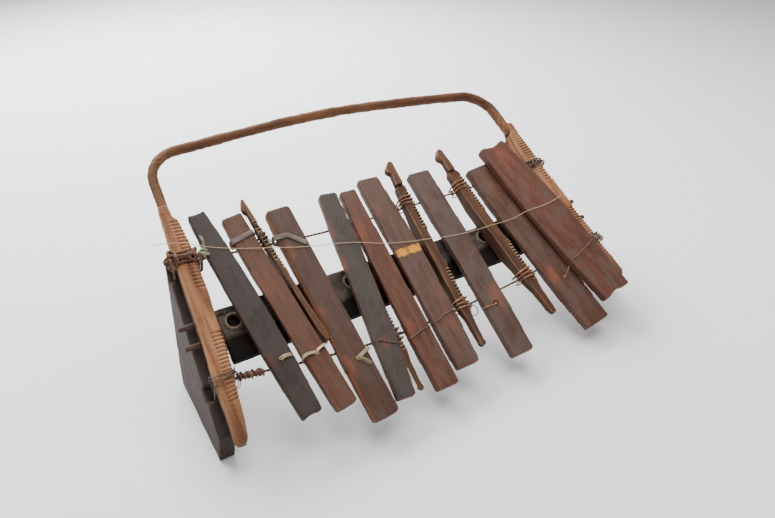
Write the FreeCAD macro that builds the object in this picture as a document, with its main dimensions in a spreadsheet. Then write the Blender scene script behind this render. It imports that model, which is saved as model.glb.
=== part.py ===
import FreeCAD, Part
import math
import os

import Sketcher
from FreeCAD import Placement, Rotation, Vector

# A frame xylophone that stands on two end boards with its keys sloping down to the player.
# Every piece is drawn in the "key plane": X runs along the row of keys, Y along each key from
# its near end to its far end, and Z is square to the keys, with their tops at Z = 0. One
# placement, STAND, then tilts that plane and lifts it onto the end boards' feet.

os.makedirs("parts", exist_ok=True)
doc = FreeCAD.newDocument("frame_xylophone")

# ---------------------------------------------------------------- driving dimensions

DIMS = {
    "tilt": 32.0,
    "lift": 163.0,
    "setback": 80.5,
    "key_thickness": 18.0,
    "key_arch": 5.0,
    "key_arch_radius": 900.0,
    "cord_hole_radius": 3.2,
    "wide_hole_radius": 6.0,
    "cord_depth": 26.5,
    "cord_radius": 2.2,
    "rail_top": 2.0,
    "rail_depth": 46.0,
    "notch_width": 3.2,
    "notch_depth": 2.6,
    "notch_pitch": 7.0,
    "hoop_depth": 14.0,
    "hoop_left_radius": 8.6,
    "hoop_right_radius": 11.6,
    "plank_top": 30.0,
    "plank_thickness": 22.0,
    "plank_left_far": 62.0,
    "plank_right_far": 47.0,
    "plank_near": 35.0,
    "plank_half_length": 383.4,
    "resonator_hole_radius": 11.0,
    "collar_radius": 17.0,
    "collar_height": 4.0,
    "peg_radius": 5.0,
    "peg_depth": 36.0,
    "peg_hole_depth": 24.0,
    "panel_thickness": 26.0,
    "panel_lean": 8.4,
    "panel_yaw": 1.2,
    "panel_foot_x": 454.0,
    "panel_foot_near": 91.0,
    "panel_foot_far": 122.0,
    "panel_near_height": 47.8,
    "panel_far_height": 222.0,
    "panel_far_reach": 188.0,
    "lashing_slot_depth": 12.0,
    "separator_seat": 25.3,
    "strap_thickness": 1.6,
    "strap_width": 11.0,
    "tie_radius": 1.5,
    "string_radius": 0.6,
}

# centre x, centre y, rise, length, far width, near width, lean (degrees), corner radius, the Y of
# the near cord and how far the left and right edges swell at mid-length; the fourth key rides on
# a separator and the ninth on its neighbour's edge
KEYS = {
    1: (-330.5, 33.0, 0.0, 408.0, 31.0, 35.0, 6.4, 2.5, -70.0, 6.0, 7.0),
    2: (-274.5, 16.5, 0.0, 396.0, 38.5, 39.0, 6.8, 5.0, -82.0, 3.0, 0.5),
    3: (-206.5, -9.5, 0.0, 426.0, 50.0, 48.0, 2.1, 8.0, -115.0, 1.5, 0.5),
    4: (-133.3, -3.0, 6.0, 414.0, 36.0, 33.0, -6.2, 3.0, -109.0, 4.0, 8.0),
    5: (-70.8, -10.0, 0.0, 423.0, 33.0, 43.0, -1.0, 3.0, -114.0, 6.0, 0.5),
    6: (-16.5, 7.0, 0.0, 421.0, 46.0, 46.0, -0.8, 3.5, -103.0, 2.0, 8.0),
    7: (97.8, -12.5, 0.0, 426.0, 51.0, 47.0, -0.9, 4.0, -122.0, 1.0, 5.0),
    8: (265.0, -30.5, 0.0, 412.0, 61.0, 60.0, 5.9, 2.5, -127.0, 9.0, 4.0),
    9: (326.6, 4.2, 18.6, 412.0, 71.0, 77.0, 8.7, 2.5, -92.0, 10.0, 12.0),
}
KEY_FIELDS = ("x", "y", "rise", "length", "far_width", "near_width", "lean", "corner", "cord_line",
              "left_swell", "right_swell")
CONCAVE_KEYS = (1, 9)
WIDE_HOLE_KEY = 7

# centre x, centre y, lean (degrees), width and the height of the top above the keys' tops
SEPARATORS = {
    1: (-244.4, 12.0, 6.7, 11.0, 4.0),
    2: (-112.0, -10.0, -1.0, 20.0, -18.8),
    3: (34.5, 12.0, -2.8, 22.0, 4.0),
    4: (187.5, 12.0, 4.2, 28.0, 4.0),
}
SEPARATOR_FIELDS = ("x", "y", "lean", "width", "rise")
SHORT_SEPARATOR = 1

for number, values in KEYS.items():
    for field, value in zip(KEY_FIELDS, values):
        DIMS["key_%s_%d" % (field, number)] = value
for number, values in SEPARATORS.items():
    for field, value in zip(SEPARATOR_FIELDS, values):
        DIMS["separator_%s_%d" % (field, number)] = value

sheet = doc.addObject("Spreadsheet::Sheet", "Sheet")
for row, (name, value) in enumerate(DIMS.items(), start=1):
    sheet.set("A%d" % row, name)
    sheet.set("B%d" % row, "%g" % value)
    sheet.setAlias("B%d" % row, name)
doc.recompute()


class Size:
    """A length that carries both its number and the sheet expression that gives it."""

    def __init__(self, value, text):
        self.value = value
        self.text = text

    def __add__(self, other):
        other = as_size(other)
        return Size(self.value + other.value, "(%s + %s)" % (self.text, other.text))

    def __sub__(self, other):
        other = as_size(other)
        return Size(self.value - other.value, "(%s - %s)" % (self.text, other.text))

    def __mul__(self, factor):
        return Size(self.value * factor, "(%s * %g)" % (self.text, factor))

    def __truediv__(self, divisor):
        return Size(self.value / divisor, "(%s / %g)" % (self.text, divisor))

    def __neg__(self):
        return Size(-self.value, "(-%s)" % self.text)


def as_size(value):
    return value if isinstance(value, Size) else Size(float(value), "(%g)" % value)


def dim(name):
    return Size(DIMS[name], "Sheet.%s" % name)


STAND = Placement(
    Vector(0, -DIMS["setback"], DIMS["lift"]),
    Rotation(Vector(1, 0, 0), DIMS["tilt"]),
)
NODES = []


def stand(local=None):
    """The placement of something that lies at local in the key plane."""
    return STAND.multiply(local) if local else STAND


def in_plane(x, y, z=0.0, lean=0.0):
    """A local placement in the key plane: lean turns it about Z, far end to the left."""
    return Placement(Vector(x, y, z), Rotation(Vector(0, 0, 1), lean))


def keep(item, node, placement=None):
    """Name a finished sub-part, place it and list it for export."""
    item.Label = node
    if placement is not None:
        item.Placement = placement
    NODES.append(item)
    return item


def shape_part(shape, node, placement=None):
    """A sub-part whose solid has no simple primitive, such as a bent cord."""
    item = doc.addObject("Part::Feature", node)
    item.Shape = shape
    return keep(item, node, placement)


# ---------------------------------------------------------------- sketching helpers

def origin_plane(body, role):
    for feature in body.Origin.OriginFeatures:
        if feature.Role == role:
            return feature
    raise ValueError(role)


def new_sketch(body, name, role="XY_Plane", offset=None):
    sketch = body.newObject("Sketcher::SketchObject", name)
    sketch.AttachmentSupport = [(origin_plane(body, role), "")]
    sketch.MapMode = "FlatFace"
    if offset is not None:
        sketch.AttachmentOffset = offset
    return sketch


def pin_point(sketch, geometry, point, across, up):
    """Hold one sketch point at two sheet-driven distances from the sketch's origin."""
    for kind, axis, size in (("DistanceX", -2, as_size(across)), ("DistanceY", -1, as_size(up))):
        if abs(size.value) < 1e-6:
            sketch.addConstraint(Sketcher.Constraint("PointOnObject", geometry, point, axis))
            continue
        if size.value > 0:
            constraint = Sketcher.Constraint(kind, -1, 1, geometry, point, size.value)
            text = size.text
        else:
            constraint = Sketcher.Constraint(kind, geometry, point, -1, 1, -size.value)
            text = "-1 * %s" % size.text
        index = sketch.addConstraint(constraint)
        if "Sheet" in text:
            sketch.setExpression("Constraints[%d]" % index, text)


def polygon(sketch, points):
    """A closed outline through points, each a pair of sizes."""
    sized = [(as_size(across), as_size(up)) for across, up in points]
    corners = [Vector(across.value, up.value, 0) for across, up in sized]
    first = sketch.GeometryCount
    count = len(corners)
    for index in range(count):
        sketch.addGeometry(Part.LineSegment(corners[index], corners[(index + 1) % count]), False)
    for index in range(count):
        following = first + (index + 1) % count
        sketch.addConstraint(Sketcher.Constraint("Coincident", first + index, 2, following, 1))
    for index, (across, up) in enumerate(sized):
        pin_point(sketch, first + index, 1, across, up)


def circle(sketch, across, up, radius):
    across, up, radius = as_size(across), as_size(up), as_size(radius)
    centre = Vector(across.value, up.value, 0)
    geometry = sketch.addGeometry(Part.Circle(centre, Vector(0, 0, 1), radius.value), False)
    pin_point(sketch, geometry, 3, across, up)
    index = sketch.addConstraint(Sketcher.Constraint("Radius", geometry, radius.value))
    if "Sheet" in radius.text:
        sketch.setExpression("Constraints[%d]" % index, radius.text)


def pad(body, sketch, name, length, reversed_side=False):
    feature = body.newObject("PartDesign::Pad", name)
    feature.Profile = sketch
    feature.Reversed = reversed_side
    length = as_size(length)
    feature.Length = length.value
    if "Sheet" in length.text:
        feature.setExpression("Length", length.text)
    return feature


def pocket_through(body, sketch, name, both_ways=False):
    feature = body.newObject("PartDesign::Pocket", name)
    feature.Profile = sketch
    feature.Type = "ThroughAll"
    if both_ways:
        feature.Midplane = True
    return feature


def upright_edges(feature, least):
    """The names of the straight edges along Z that are at least this long."""
    names = []
    for index, edge in enumerate(feature.Shape.Edges, start=1):
        if len(edge.Vertexes) != 2 or edge.Length < least:
            continue
        step = edge.Vertexes[1].Point - edge.Vertexes[0].Point
        if abs(step.z) > 0.999 * edge.Length:
            names.append("Edge%d" % index)
    return names


# ---------------------------------------------------------------- cords

def rounded_wire(points, bend):
    """Straight runs joined by tangent arcs. bend gives each corner's radius."""
    edges = []
    start = points[0]
    for index in range(1, len(points) - 1):
        corner = points[index]
        back = points[index - 1] - corner
        ahead = points[index + 1] - corner
        reach_back, reach_ahead = back.Length, ahead.Length
        back.normalize()
        ahead.normalize()
        half_turn = (math.pi - back.getAngle(ahead)) / 2
        radius = bend(min(reach_back, reach_ahead), half_turn)
        trim = radius * math.tan(half_turn)
        enter = corner + back * trim
        leave = corner + ahead * trim
        middle_way = back + ahead
        middle_way.normalize()
        middle = corner + middle_way * (radius / math.cos(half_turn) - radius)
        edges.append(Part.makeLine(start, enter))
        edges.append(Part.Arc(enter, middle, leave).toShape())
        start = leave
    edges.append(Part.makeLine(start, points[-1]))
    return Part.Wire(edges)


def widest_bend(run, half_turn):
    """As large an arc as the shorter run allows."""
    return 0.45 * run / math.tan(half_turn)


def tube(points, radius, bend=widest_bend):
    path = rounded_wire(points, bend)
    start = points[0]
    along = points[1] - start
    section = Part.Wire(Part.makeCircle(radius, start, along))
    solid = path.makePipeShell([section], True, False)
    expected = math.pi * radius ** 2 * path.Length
    error = abs(solid.Volume - expected) / expected
    print("tube: radius %.2f, length %.1f, volume error %.2f%%" % (radius, path.Length, 100 * error))
    return solid


def band(width, height, wall, along, corner):
    """A closed band round a bar that lies along Y, its top at Z = 0."""
    outer = Part.makeBox(width + 2 * wall, along, height + 2 * wall,
                         Vector(-width / 2 - wall, -along / 2, -height - wall))
    inner = Part.makeBox(width, along + 2, height, Vector(-width / 2, -along / 2 - 1, -height))
    lengthwise = [edge for edge in outer.Edges
                  if abs(edge.tangentAt(edge.FirstParameter).y) > 0.99]
    outer = outer.makeFillet(corner, lengthwise)
    return outer.cut(inner)


def closed_turn(width, height, radius, start, slant):
    """One closed turn of cord round a bar along Y: a rectangle with rounded corners."""
    half = width / 2 + radius
    top, bottom = radius, -height - radius
    bend = radius * 2.2
    near, far = start - slant / 2, start + slant / 2
    corners = [Vector(-half, near, top), Vector(half, far, top),
               Vector(half, far, bottom), Vector(-half, near, bottom)]
    arcs, enters, leaves = [], [], []
    for number in range(4):
        corner = corners[number]
        back = (corners[number - 1] - corner).normalize()
        ahead = (corners[(number + 1) % 4] - corner).normalize()
        inward = (back + ahead).normalize()
        half_angle = back.getAngle(ahead) / 2
        arc_radius = bend * math.tan(half_angle)
        middle = corner + inward * (arc_radius / math.sin(half_angle) - arc_radius)
        enters.append(corner + back * bend)
        leaves.append(corner + ahead * bend)
        arcs.append(Part.Arc(enters[-1], middle, leaves[-1]).toShape())
    edges = []
    for number in range(4):
        following = (number + 1) % 4
        edges.append(Part.makeLine(leaves[number], enters[following]))
        edges.append(arcs[following])
    section = Part.Wire(Part.makeCircle(radius, leaves[0], enters[1] - leaves[0]))
    return Part.Wire(edges).makePipeShell([section], True, False)


def coil(width, height, radius, starts, slant=0.0):
    """Closed turns of cord side by side round a bar along Y, top at Z = 0."""
    return Part.makeCompound([closed_turn(width, height, radius, start, slant) for start in starts])


# ---------------------------------------------------------------- keys

SIDE_STEPS = 5
# the hollow of a concave end: its radius as a share of the key's width, and how far from the
# key's middle it is struck as a share of that radius past the end
SCOOP_RADIUS_SHARE = 0.9
SCOOP_REACH_SHARE = 0.93


def near_hole_y(number):
    """Where the near cord crosses a key, in the key's own frame."""
    return DIMS["key_cord_line_%d" % number] - DIMS["key_y_%d" % number]


def key_reach(number, side, y):
    """How far the key's left or right side is from its centre line at y, in its own frame."""
    length = DIMS["key_length_%d" % number]
    share = y / length + 0.5
    straight = DIMS["key_near_width_%d" % number] * (1 - share) + DIMS["key_far_width_%d" % number] * share
    return straight / 2 + DIMS["key_%s_swell_%d" % (side, number)] * 4 * share * (1 - share)


def key_outline(number):
    """A bar's plan: straight ends, and sides that swell towards mid-length."""
    half_length = dim("key_length_%d" % number) / 2
    half_far = dim("key_far_width_%d" % number) / 2
    half_near = dim("key_near_width_%d" % number) / 2
    sides = {}
    for side, sign in (("left", -1), ("right", 1)):
        swell = dim("key_%s_swell_%d" % (side, number))
        sides[side] = []
        for step in range(SIDE_STEPS + 1):
            share = step / SIDE_STEPS
            bulge = 4 * share * (1 - share)
            half_width = half_near * (1 - share) + half_far * share + swell * bulge
            sides[side].append((half_width * sign, half_length * (2 * share - 1)))
    return sides["right"] + sides["left"][::-1]


def make_key(number):
    """A carved bar: its sides swell in plan, it is hollowed underneath and has a cord hole."""
    node = "key_%d" % number
    body = doc.addObject("PartDesign::Body", node)
    half_length = dim("key_length_%d" % number) / 2

    outline = new_sketch(body, node + "_outline")
    polygon(outline, key_outline(number))
    bar = pad(body, outline, node + "_bar", dim("key_thickness"), reversed_side=True)
    doc.recompute()
    ends = [name for name in upright_edges(bar, 1.0)
            if abs(bar.Shape.getElement(name).CenterOfMass.y) > half_length.value - 1.0]
    corners = body.newObject("PartDesign::Fillet", node + "_corners")
    corners.Base = (bar, ends)
    corners.Radius = DIMS["key_corner_%d" % number]
    corners.setExpression("Radius", "Sheet.key_corner_%d" % number)
    doc.recompute()

    arch = new_sketch(body, node + "_arch_line", "YZ_Plane")
    drop = dim("key_arch_radius") + dim("key_thickness") - dim("key_arch")
    circle(arch, 0.0, -drop, dim("key_arch_radius"))
    pocket_through(body, arch, node + "_arch", both_ways=True)
    doc.recompute()

    hole = new_sketch(body, node + "_hole_mark")
    radius = dim("wide_hole_radius" if number == WIDE_HOLE_KEY else "cord_hole_radius")
    circle(hole, 0.0, near_hole_y(number), radius)
    pocket_through(body, hole, node + "_hole")
    doc.recompute()

    if number in CONCAVE_KEYS:
        scoops = new_sketch(body, node + "_end_marks")
        scoop_radius = dim("key_near_width_%d" % number) * SCOOP_RADIUS_SHARE
        reach = half_length + scoop_radius * SCOOP_REACH_SHARE
        circle(scoops, 0.0, -reach, scoop_radius)
        circle(scoops, 0.0, reach, scoop_radius)
        pocket_through(body, scoops, node + "_ends")
        doc.recompute()
    place = in_plane(DIMS["key_x_%d" % number], DIMS["key_y_%d" % number],
                     DIMS["key_rise_%d" % number], DIMS["key_lean_%d" % number])
    keep(body, node, stand(place))
    return place


key_places = {}
for key_number in KEYS:
    key_places[key_number] = make_key(key_number)


def on_key(number, x, y, z=0.0):
    """Placement of something fixed to a key, given in that key's own frame."""
    return stand(key_places[number].multiply(in_plane(x, y, z)))


# ---------------------------------------------------------------- key ties and straps

TIE_CLEARANCE = 0.6
TIE_CREST = 1.0
TIE_BEND = 1.6
# where the tie turns after the hole: left of the hole, and its drift along the key at each turn
TIE_FIRST_STEP = (5.5, 3.0)
TIE_EDGE_DRIFT, TIE_END_DRIFT = 6.0, 7.0
# how deep the tie starts in the hole and ends beside the key, as shares of the key's thickness
TIE_START_DEPTH, TIE_END_DEPTH = 0.6, 0.7


def tie_bend(run, half_turn):
    return min(TIE_BEND * DIMS["tie_radius"], widest_bend(run, half_turn))


def tie_loop(number):
    """Cord out of the key's near hole, across its top and down over its edge."""
    radius = DIMS["tie_radius"]
    thickness = DIMS["key_thickness"]
    y = near_hole_y(number)
    half = key_reach(number, "left", y + TIE_END_DRIFT)
    lift = radius + TIE_CLEARANCE
    aside, along = TIE_FIRST_STEP
    path = [Vector(0, y, -thickness * TIE_START_DEPTH), Vector(0, y, lift + TIE_CREST),
            Vector(-aside, y + along, lift), Vector(-half - lift, y + TIE_EDGE_DRIFT, lift),
            Vector(-half - lift, y + TIE_END_DRIFT, -thickness * TIE_END_DEPTH)]
    return tube(path, radius, tie_bend)


for key_number in KEYS:
    shape_part(tie_loop(key_number), "key_%d_tie" % key_number, stand(key_places[key_number]))


STRAP_LINES = {2: 165.0, 3: 134.0}


def make_strap(number):
    """A flat hide strap right round a key near the far cord."""
    clearance = 0.3
    y = STRAP_LINES[number] - DIMS["key_y_%d" % number]
    left = max(key_reach(number, "left", y + across) for across in (-8.0, 8.0))
    right = max(key_reach(number, "right", y + across) for across in (-8.0, 8.0))
    shape = band(left + right + 2 * clearance, DIMS["key_thickness"] + 2 * clearance,
                 DIMS["strap_thickness"], DIMS["strap_width"], 1.5)
    place = on_key(number, (right - left) / 2, y, clearance)
    shape_part(shape, "key_%d_strap" % number, place)


for key_number in STRAP_LINES:
    make_strap(key_number)

# ---------------------------------------------------------------- separators

# half-widths are shares of the separator's width
SEPARATOR_BODY = [(0.50, 160.0), (0.50, 62.0), (0.38, 54.0), (0.38, -16.0), (0.50, -24.0)]
SEPARATOR_TAIL = [(0.50, -118.0), (0.30, -142.0), (0.24, -186.0)]
SEPARATOR_STUB = [(0.50, -66.0), (0.30, -80.0)]
NARROW_WAIST = 0.38
HEAD = [(-10.5, 168.0), (-8.5, 196.0), (-15.5, 203.0), (-14.5, 211.0), (-2.0, 226.0),
        (5.0, 222.0), (6.0, 205.0), (5.5, 168.0)]


def separator_outline(number):
    """The separator in plan: notched right edge with a waist, straight left edge."""
    width = dim("separator_width_%d" % number)
    tail = SEPARATOR_STUB if number == SHORT_SEPARATOR else SEPARATOR_TAIL
    edge = SEPARATOR_BODY + tail
    right = [(width * share, y) for share, y in edge]
    left = [(width * -share, y) for share, y in reversed(edge) if share != NARROW_WAIST]
    return left + [(width * -0.30, 170.0), (width * 0.30, 170.0)] + right


def make_separator(number):
    """A carved bar between two keys: beaked head, notched edge, keel, knobbed tail."""
    node = "separator_%d" % number
    body = doc.addObject("PartDesign::Body", node)
    width = dim("separator_width_%d" % number)
    rise = dim("separator_rise_%d" % number)
    raised = Placement(Vector(0, 0, rise.value), Rotation())

    outline = new_sketch(body, node + "_outline", offset=raised)
    outline.setExpression("AttachmentOffset.Base.z", rise.text)
    polygon(outline, separator_outline(number))
    pad(body, outline, node + "_bar", rise + dim("separator_seat"), reversed_side=True)
    doc.recompute()

    low = rise.value < 0
    crown = rise.value if low else rise.value + 6.0
    neck = new_sketch(body, node + "_head_outline", offset=Placement(Vector(0, 0, crown), Rotation()))
    slim = min(1.0, width.value / 20.0)
    polygon(neck, [(x * slim, y) for x, y in reversed(HEAD)])
    pad(body, neck, node + "_head", 4.5 if low else 16.0, reversed_side=True)
    doc.recompute()

    if number != SHORT_SEPARATOR:
        knob = new_sketch(body, node + "_knob_outline", offset=raised)
        circle(knob, 0.0, -190.0, 6.6)
        pad(body, knob, node + "_knob", 4.5 if low else 12.0, reversed_side=True)
        doc.recompute()

    keel = new_sketch(body, node + "_keel_line", "YZ_Plane")
    floor = -dim("separator_seat") - 2.0
    ends, shoulder = (-22.7, -22.7) if low else (-9.0, -13.0)
    polygon(keel, [(68.0, floor), (235.0, floor), (235.0, ends), (150.0, shoulder)])
    polygon(keel, [(-42.0, floor), (-110.0, shoulder), (-215.0, ends), (-215.0, floor)])
    pocket_through(body, keel, node + "_keel", both_ways=True)
    doc.recompute()

    notch = new_sketch(body, node + "_notch_mark", offset=raised)
    depth = dim("notch_depth")
    half = dim("notch_width") / 2
    firsts = (150.0,) if number == SHORT_SEPARATOR else (150.0, -32.0)
    for first in firsts:
        polygon(notch, [(width / 2 - depth, half * -1 + first), (width / 2 + 1.0, half * -1 + first),
                        (width / 2 + 1.0, half + first), (width / 2 - depth, half + first)])
    cut = body.newObject("PartDesign::Pocket", node + "_notch")
    cut.Profile = notch
    cut.Length = 9.0
    doc.recompute()
    row = body.newObject("PartDesign::LinearPattern", node + "_notches")
    row.Originals = [cut]
    row.Direction = (notch, ["V_Axis"])
    row.Reversed = True
    row.Occurrences = 12
    row.Length = DIMS["notch_pitch"] * 11
    row.setExpression("Length", "Sheet.notch_pitch * 11")
    body.Tip = row
    doc.recompute()
    place = in_plane(DIMS["separator_x_%d" % number], DIMS["separator_y_%d" % number],
                     lean=DIMS["separator_lean_%d" % number])
    keep(body, node, stand(place))
    return place


separator_places = {}
for separator_number in SEPARATORS:
    separator_places[separator_number] = make_separator(separator_number)

# ---------------------------------------------------------------- hoop and side rails

# the left rail in plan; the right one is its mirror image
RAIL_OUTER = [(-409, 268), (-413, 198), (-416, 100), (-419, 20), (-424, -40), (-427, -118),
              (-430, -158), (-425, -167)]
RAIL_INNER = [(-413, -167), (-408, -158), (-401, -108), (-393, -55), (-387, 0), (-384, 60),
              (-381, 125), (-380, 187), (-384, 236), (-391, 244), (-393, 268)]
RAIL_NOTCH_ROWS = ((232.0, 20), (13.0, 18))


def make_rail(side, node):
    """One carved end of the hoop: side is -1 for the left rail and 1 for the right."""
    body = doc.addObject("PartDesign::Body", node)
    top = Placement(Vector(0, 0, -DIMS["rail_top"]), Rotation())
    outline = new_sketch(body, node + "_outline", offset=top)
    outline.setExpression("AttachmentOffset.Base.z", "-Sheet.rail_top")
    points = [(-side * x, y) for x, y in RAIL_OUTER + RAIL_INNER]
    polygon(outline, points)
    pad(body, outline, node + "_bar", dim("rail_depth"), reversed_side=True)
    doc.recompute()

    under = new_sketch(body, node + "_under_line", "YZ_Plane")
    floor = -dim("rail_top") - dim("rail_depth") - 1.0
    polygon(under, [(150.0, floor), (275.0, floor), (275.0, -24.0), (205.0, floor + 1.0)])
    polygon(under, [(-90.0, floor), (-95.0, floor + 1.0), (-172.0, -28.0), (-172.0, floor)])
    pocket_through(body, under, node + "_under", both_ways=True)
    doc.recompute()
    return body


def hoop_path():
    """Centre, direction and radius of the bent stick at each station, left end to right end."""
    left, right = -400.0, 391.0
    far, sag = 389.0, 21.0
    corner_left, corner_right = 62.0, 70.0
    stations = []
    for step in range(4):
        stations.append((Vector(left + 0.5 * step, 246.0 + 26.0 * step, 0), Vector(0, 1, 0)))
    for angle in range(15, 91, 15):
        a = math.radians(angle)
        centre = Vector(left + 2.0 + corner_left, far - corner_left, 0)
        point = centre + Vector(-math.cos(a), math.sin(a), 0) * corner_left
        stations.append((point, Vector(math.sin(a), math.cos(a), 0)))
    first, last = left + corner_left + 2.0, right - corner_right
    spans = 12
    for step in range(1, spans):
        share = step / spans
        bow = math.sin(math.pi * share)
        slope = sag * math.pi * math.cos(math.pi * share) / (last - first)
        end_drop = -8.0 * share
        stations.append((Vector(first + (last - first) * share, far + sag * bow + end_drop, 0),
                         Vector(1, slope, 0)))
    for angle in range(90, 14, -15):
        a = math.radians(angle)
        centre = Vector(right - corner_right, far - 8.0 - corner_right, 0)
        point = centre + Vector(math.cos(a), math.sin(a), 0) * corner_right
        stations.append((point, Vector(math.sin(a), -math.cos(a), 0)))
    for step in range(3):
        stations.append((Vector(right + 1.5 * step, 298.0 - 26.0 * step, 0), Vector(0, -1, 0)))
    return stations


def make_hoop():
    """A bent stick, thicker towards its right end, that carries a carved rail at each end."""
    stations = hoop_path()
    sections = []
    for index, (point, heading) in enumerate(stations):
        share = index / (len(stations) - 1)
        radius = DIMS["hoop_left_radius"] * (1 - share) + DIMS["hoop_right_radius"] * share
        centre = point - Vector(0, 0, DIMS["hoop_depth"])
        sections.append(Part.Wire(Part.makeCircle(radius, centre, heading)))
    stick = doc.addObject("Part::Feature", "hoop_stick")
    stick.Shape = Part.makeLoft(sections, True, True)
    print("hoop stick volume %.0f, valid %s" % (stick.Shape.Volume, stick.Shape.isValid()))
    rails = [make_rail(-1, "left_rail_body"), make_rail(1, "right_rail_body")]
    hoop = doc.addObject("Part::MultiFuse", "hoop_blank")
    hoop.Shapes = [stick] + rails
    doc.recompute()
    cutters = []
    for side in (-1, 1):
        for first, count in RAIL_NOTCH_ROWS:
            for index in range(count):
                y = first - index * DIMS["notch_pitch"] * (1.0 if first > 0 else 0.95)
                cutters.append(notch_box(notched_edge_x(side, y), y))
        for y in PEG_Y[side]:
            cutters.append(peg_bore(side, y))
    notches = doc.addObject("Part::Compound", "rail_cuts")
    notches.Links = cutters
    frame = doc.addObject("Part::Cut", "hoop_frame_cut")
    frame.Base = hoop
    frame.Tool = notches
    doc.recompute()
    return keep(frame, "hoop_frame", stand())


def outline_x(points, y):
    """Interpolate a rail edge, listed by falling or rising y, at one y."""
    ordered = sorted(points, key=lambda point: point[1])
    for (x0, y0), (x1, y1) in zip(ordered, ordered[1:]):
        if y0 <= y <= y1:
            return x0 + (x1 - x0) * (y - y0) / (y1 - y0)
    raise ValueError(y)


def notched_edge_x(side, y):
    """The notches are on the right-hand edge of both rails."""
    if side == -1:
        return outline_x(RAIL_INNER, y)
    return -outline_x(RAIL_OUTER, y)


def notch_box(x, y):
    """A cutter for one notch whose floor is notch_depth inside the edge at x."""
    box = doc.addObject("Part::Box", "rail_notch")
    box.setExpression("Width", "Sheet.notch_width")
    box.setExpression("Length", "Sheet.notch_depth + 6")
    box.Height = 12.0
    corner = Vector(x - DIMS["notch_depth"], y - DIMS["notch_width"] / 2,
                    -DIMS["rail_top"] - 11.0)
    box.Placement = Placement(corner, Rotation())
    return box


PEG_Y = {-1: (50.0, 14.0), 1: (38.0, -6.0)}
PEG_REACH = {-1: 28.0, 1: 38.0}


def peg_bore(side, y):
    """A cutter for the hole that a peg passes through a rail by."""
    bore = doc.addObject("Part::Cylinder", "peg_bore")
    bore.setExpression("Radius", "Sheet.peg_radius + 0.15")
    bore.Height = 60.0
    bore.Placement = Placement(Vector(side * 370.0, y, -DIMS["peg_depth"]),
                               Rotation(Vector(0, 0, 1), Vector(side, 0, 0)))
    return bore


make_hoop()

# ---------------------------------------------------------------- plank, collars and pegs

RESONATOR_X = {1: -359, 2: -278, 3: -208, 4: -136, 5: -74, 6: -16, 7: 97, 8: 176, 9: 262, 10: 335}


def hole_y(x):
    """The resonator holes follow the plank's centre line, nearer its far edge."""
    share = (x + 400.0) / 800.0
    return 32.0 - 9.0 * share


def make_plank():
    """The centre board that the resonators hung from, a little wider at its left end."""
    body = doc.addObject("PartDesign::Body", "resonator_plank")
    lowered = Placement(Vector(0, 0, -DIMS["plank_top"]), Rotation())
    outline = new_sketch(body, "plank_outline", offset=lowered)
    outline.setExpression("AttachmentOffset.Base.z", "-Sheet.plank_top")
    half = dim("plank_half_length")
    polygon(outline, [(-half, -dim("plank_near")), (half, -dim("plank_near")),
                      (half, dim("plank_right_far")), (-half, dim("plank_left_far"))])
    pad(body, outline, "plank_board", dim("plank_thickness"), reversed_side=True)
    doc.recompute()
    marks = new_sketch(body, "resonator_marks", offset=lowered)
    for x in RESONATOR_X.values():
        circle(marks, float(x), hole_y(x), dim("resonator_hole_radius"))
    pocket_through(body, marks, "resonator_holes")
    doc.recompute()
    for side, name in ((-1, "left"), (1, "right")):
        end = Placement(Vector(0, 0, side * DIMS["plank_half_length"]), Rotation())
        sockets = new_sketch(body, name + "_socket_marks", "YZ_Plane", offset=end)
        for y in PEG_Y[side]:
            circle(sockets, y, -dim("peg_depth"), dim("peg_radius") + 0.15)
        bore = body.newObject("PartDesign::Pocket", name + "_sockets")
        bore.Profile = sockets
        bore.Reversed = side == -1
        bore.Length = DIMS["peg_hole_depth"]
        bore.setExpression("Length", "Sheet.peg_hole_depth")
        doc.recompute()
    keep(body, "resonator_plank", stand())


make_plank()


def make_collars():
    """Raised rings of wax round the resonator holes."""
    rings = []
    for number, x in RESONATOR_X.items():
        outer = Part.makeCone(DIMS["collar_radius"], DIMS["collar_radius"] - 3.0, DIMS["collar_height"])
        inner = Part.makeCylinder(DIMS["resonator_hole_radius"] + 0.4, DIMS["collar_height"])
        ring = outer.cut(inner)
        ring.translate(Vector(x, hole_y(x), -DIMS["plank_top"] + 0.1))
        rings.append(ring)
    shape_part(Part.makeCompound(rings), "wax_collars", stand())


make_collars()

def make_pegs():
    """Whittled pegs, driven through each rail into the plank's end grain."""
    pegs = []
    for side in (-1, 1):
        inner = side * (DIMS["plank_half_length"] - DIMS["peg_hole_depth"] + 0.3)
        outer = side * (418.0 + PEG_REACH[side])
        for y in PEG_Y[side]:
            start = Vector(inner, y, -DIMS["peg_depth"])
            pegs.append(Part.makeCylinder(DIMS["peg_radius"], abs(outer - inner), start,
                                          Vector(side, 0, 0)))
    shape_part(Part.makeCompound(pegs), "plank_pegs", stand())


make_pegs()

# ---------------------------------------------------------------- end panels

LASHING_Y = {-1: (159.0, -64.0), 1: (148.0, -72.0)}
SLOT_HALF = 14.0
PANEL_GAP = 1.2


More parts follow.
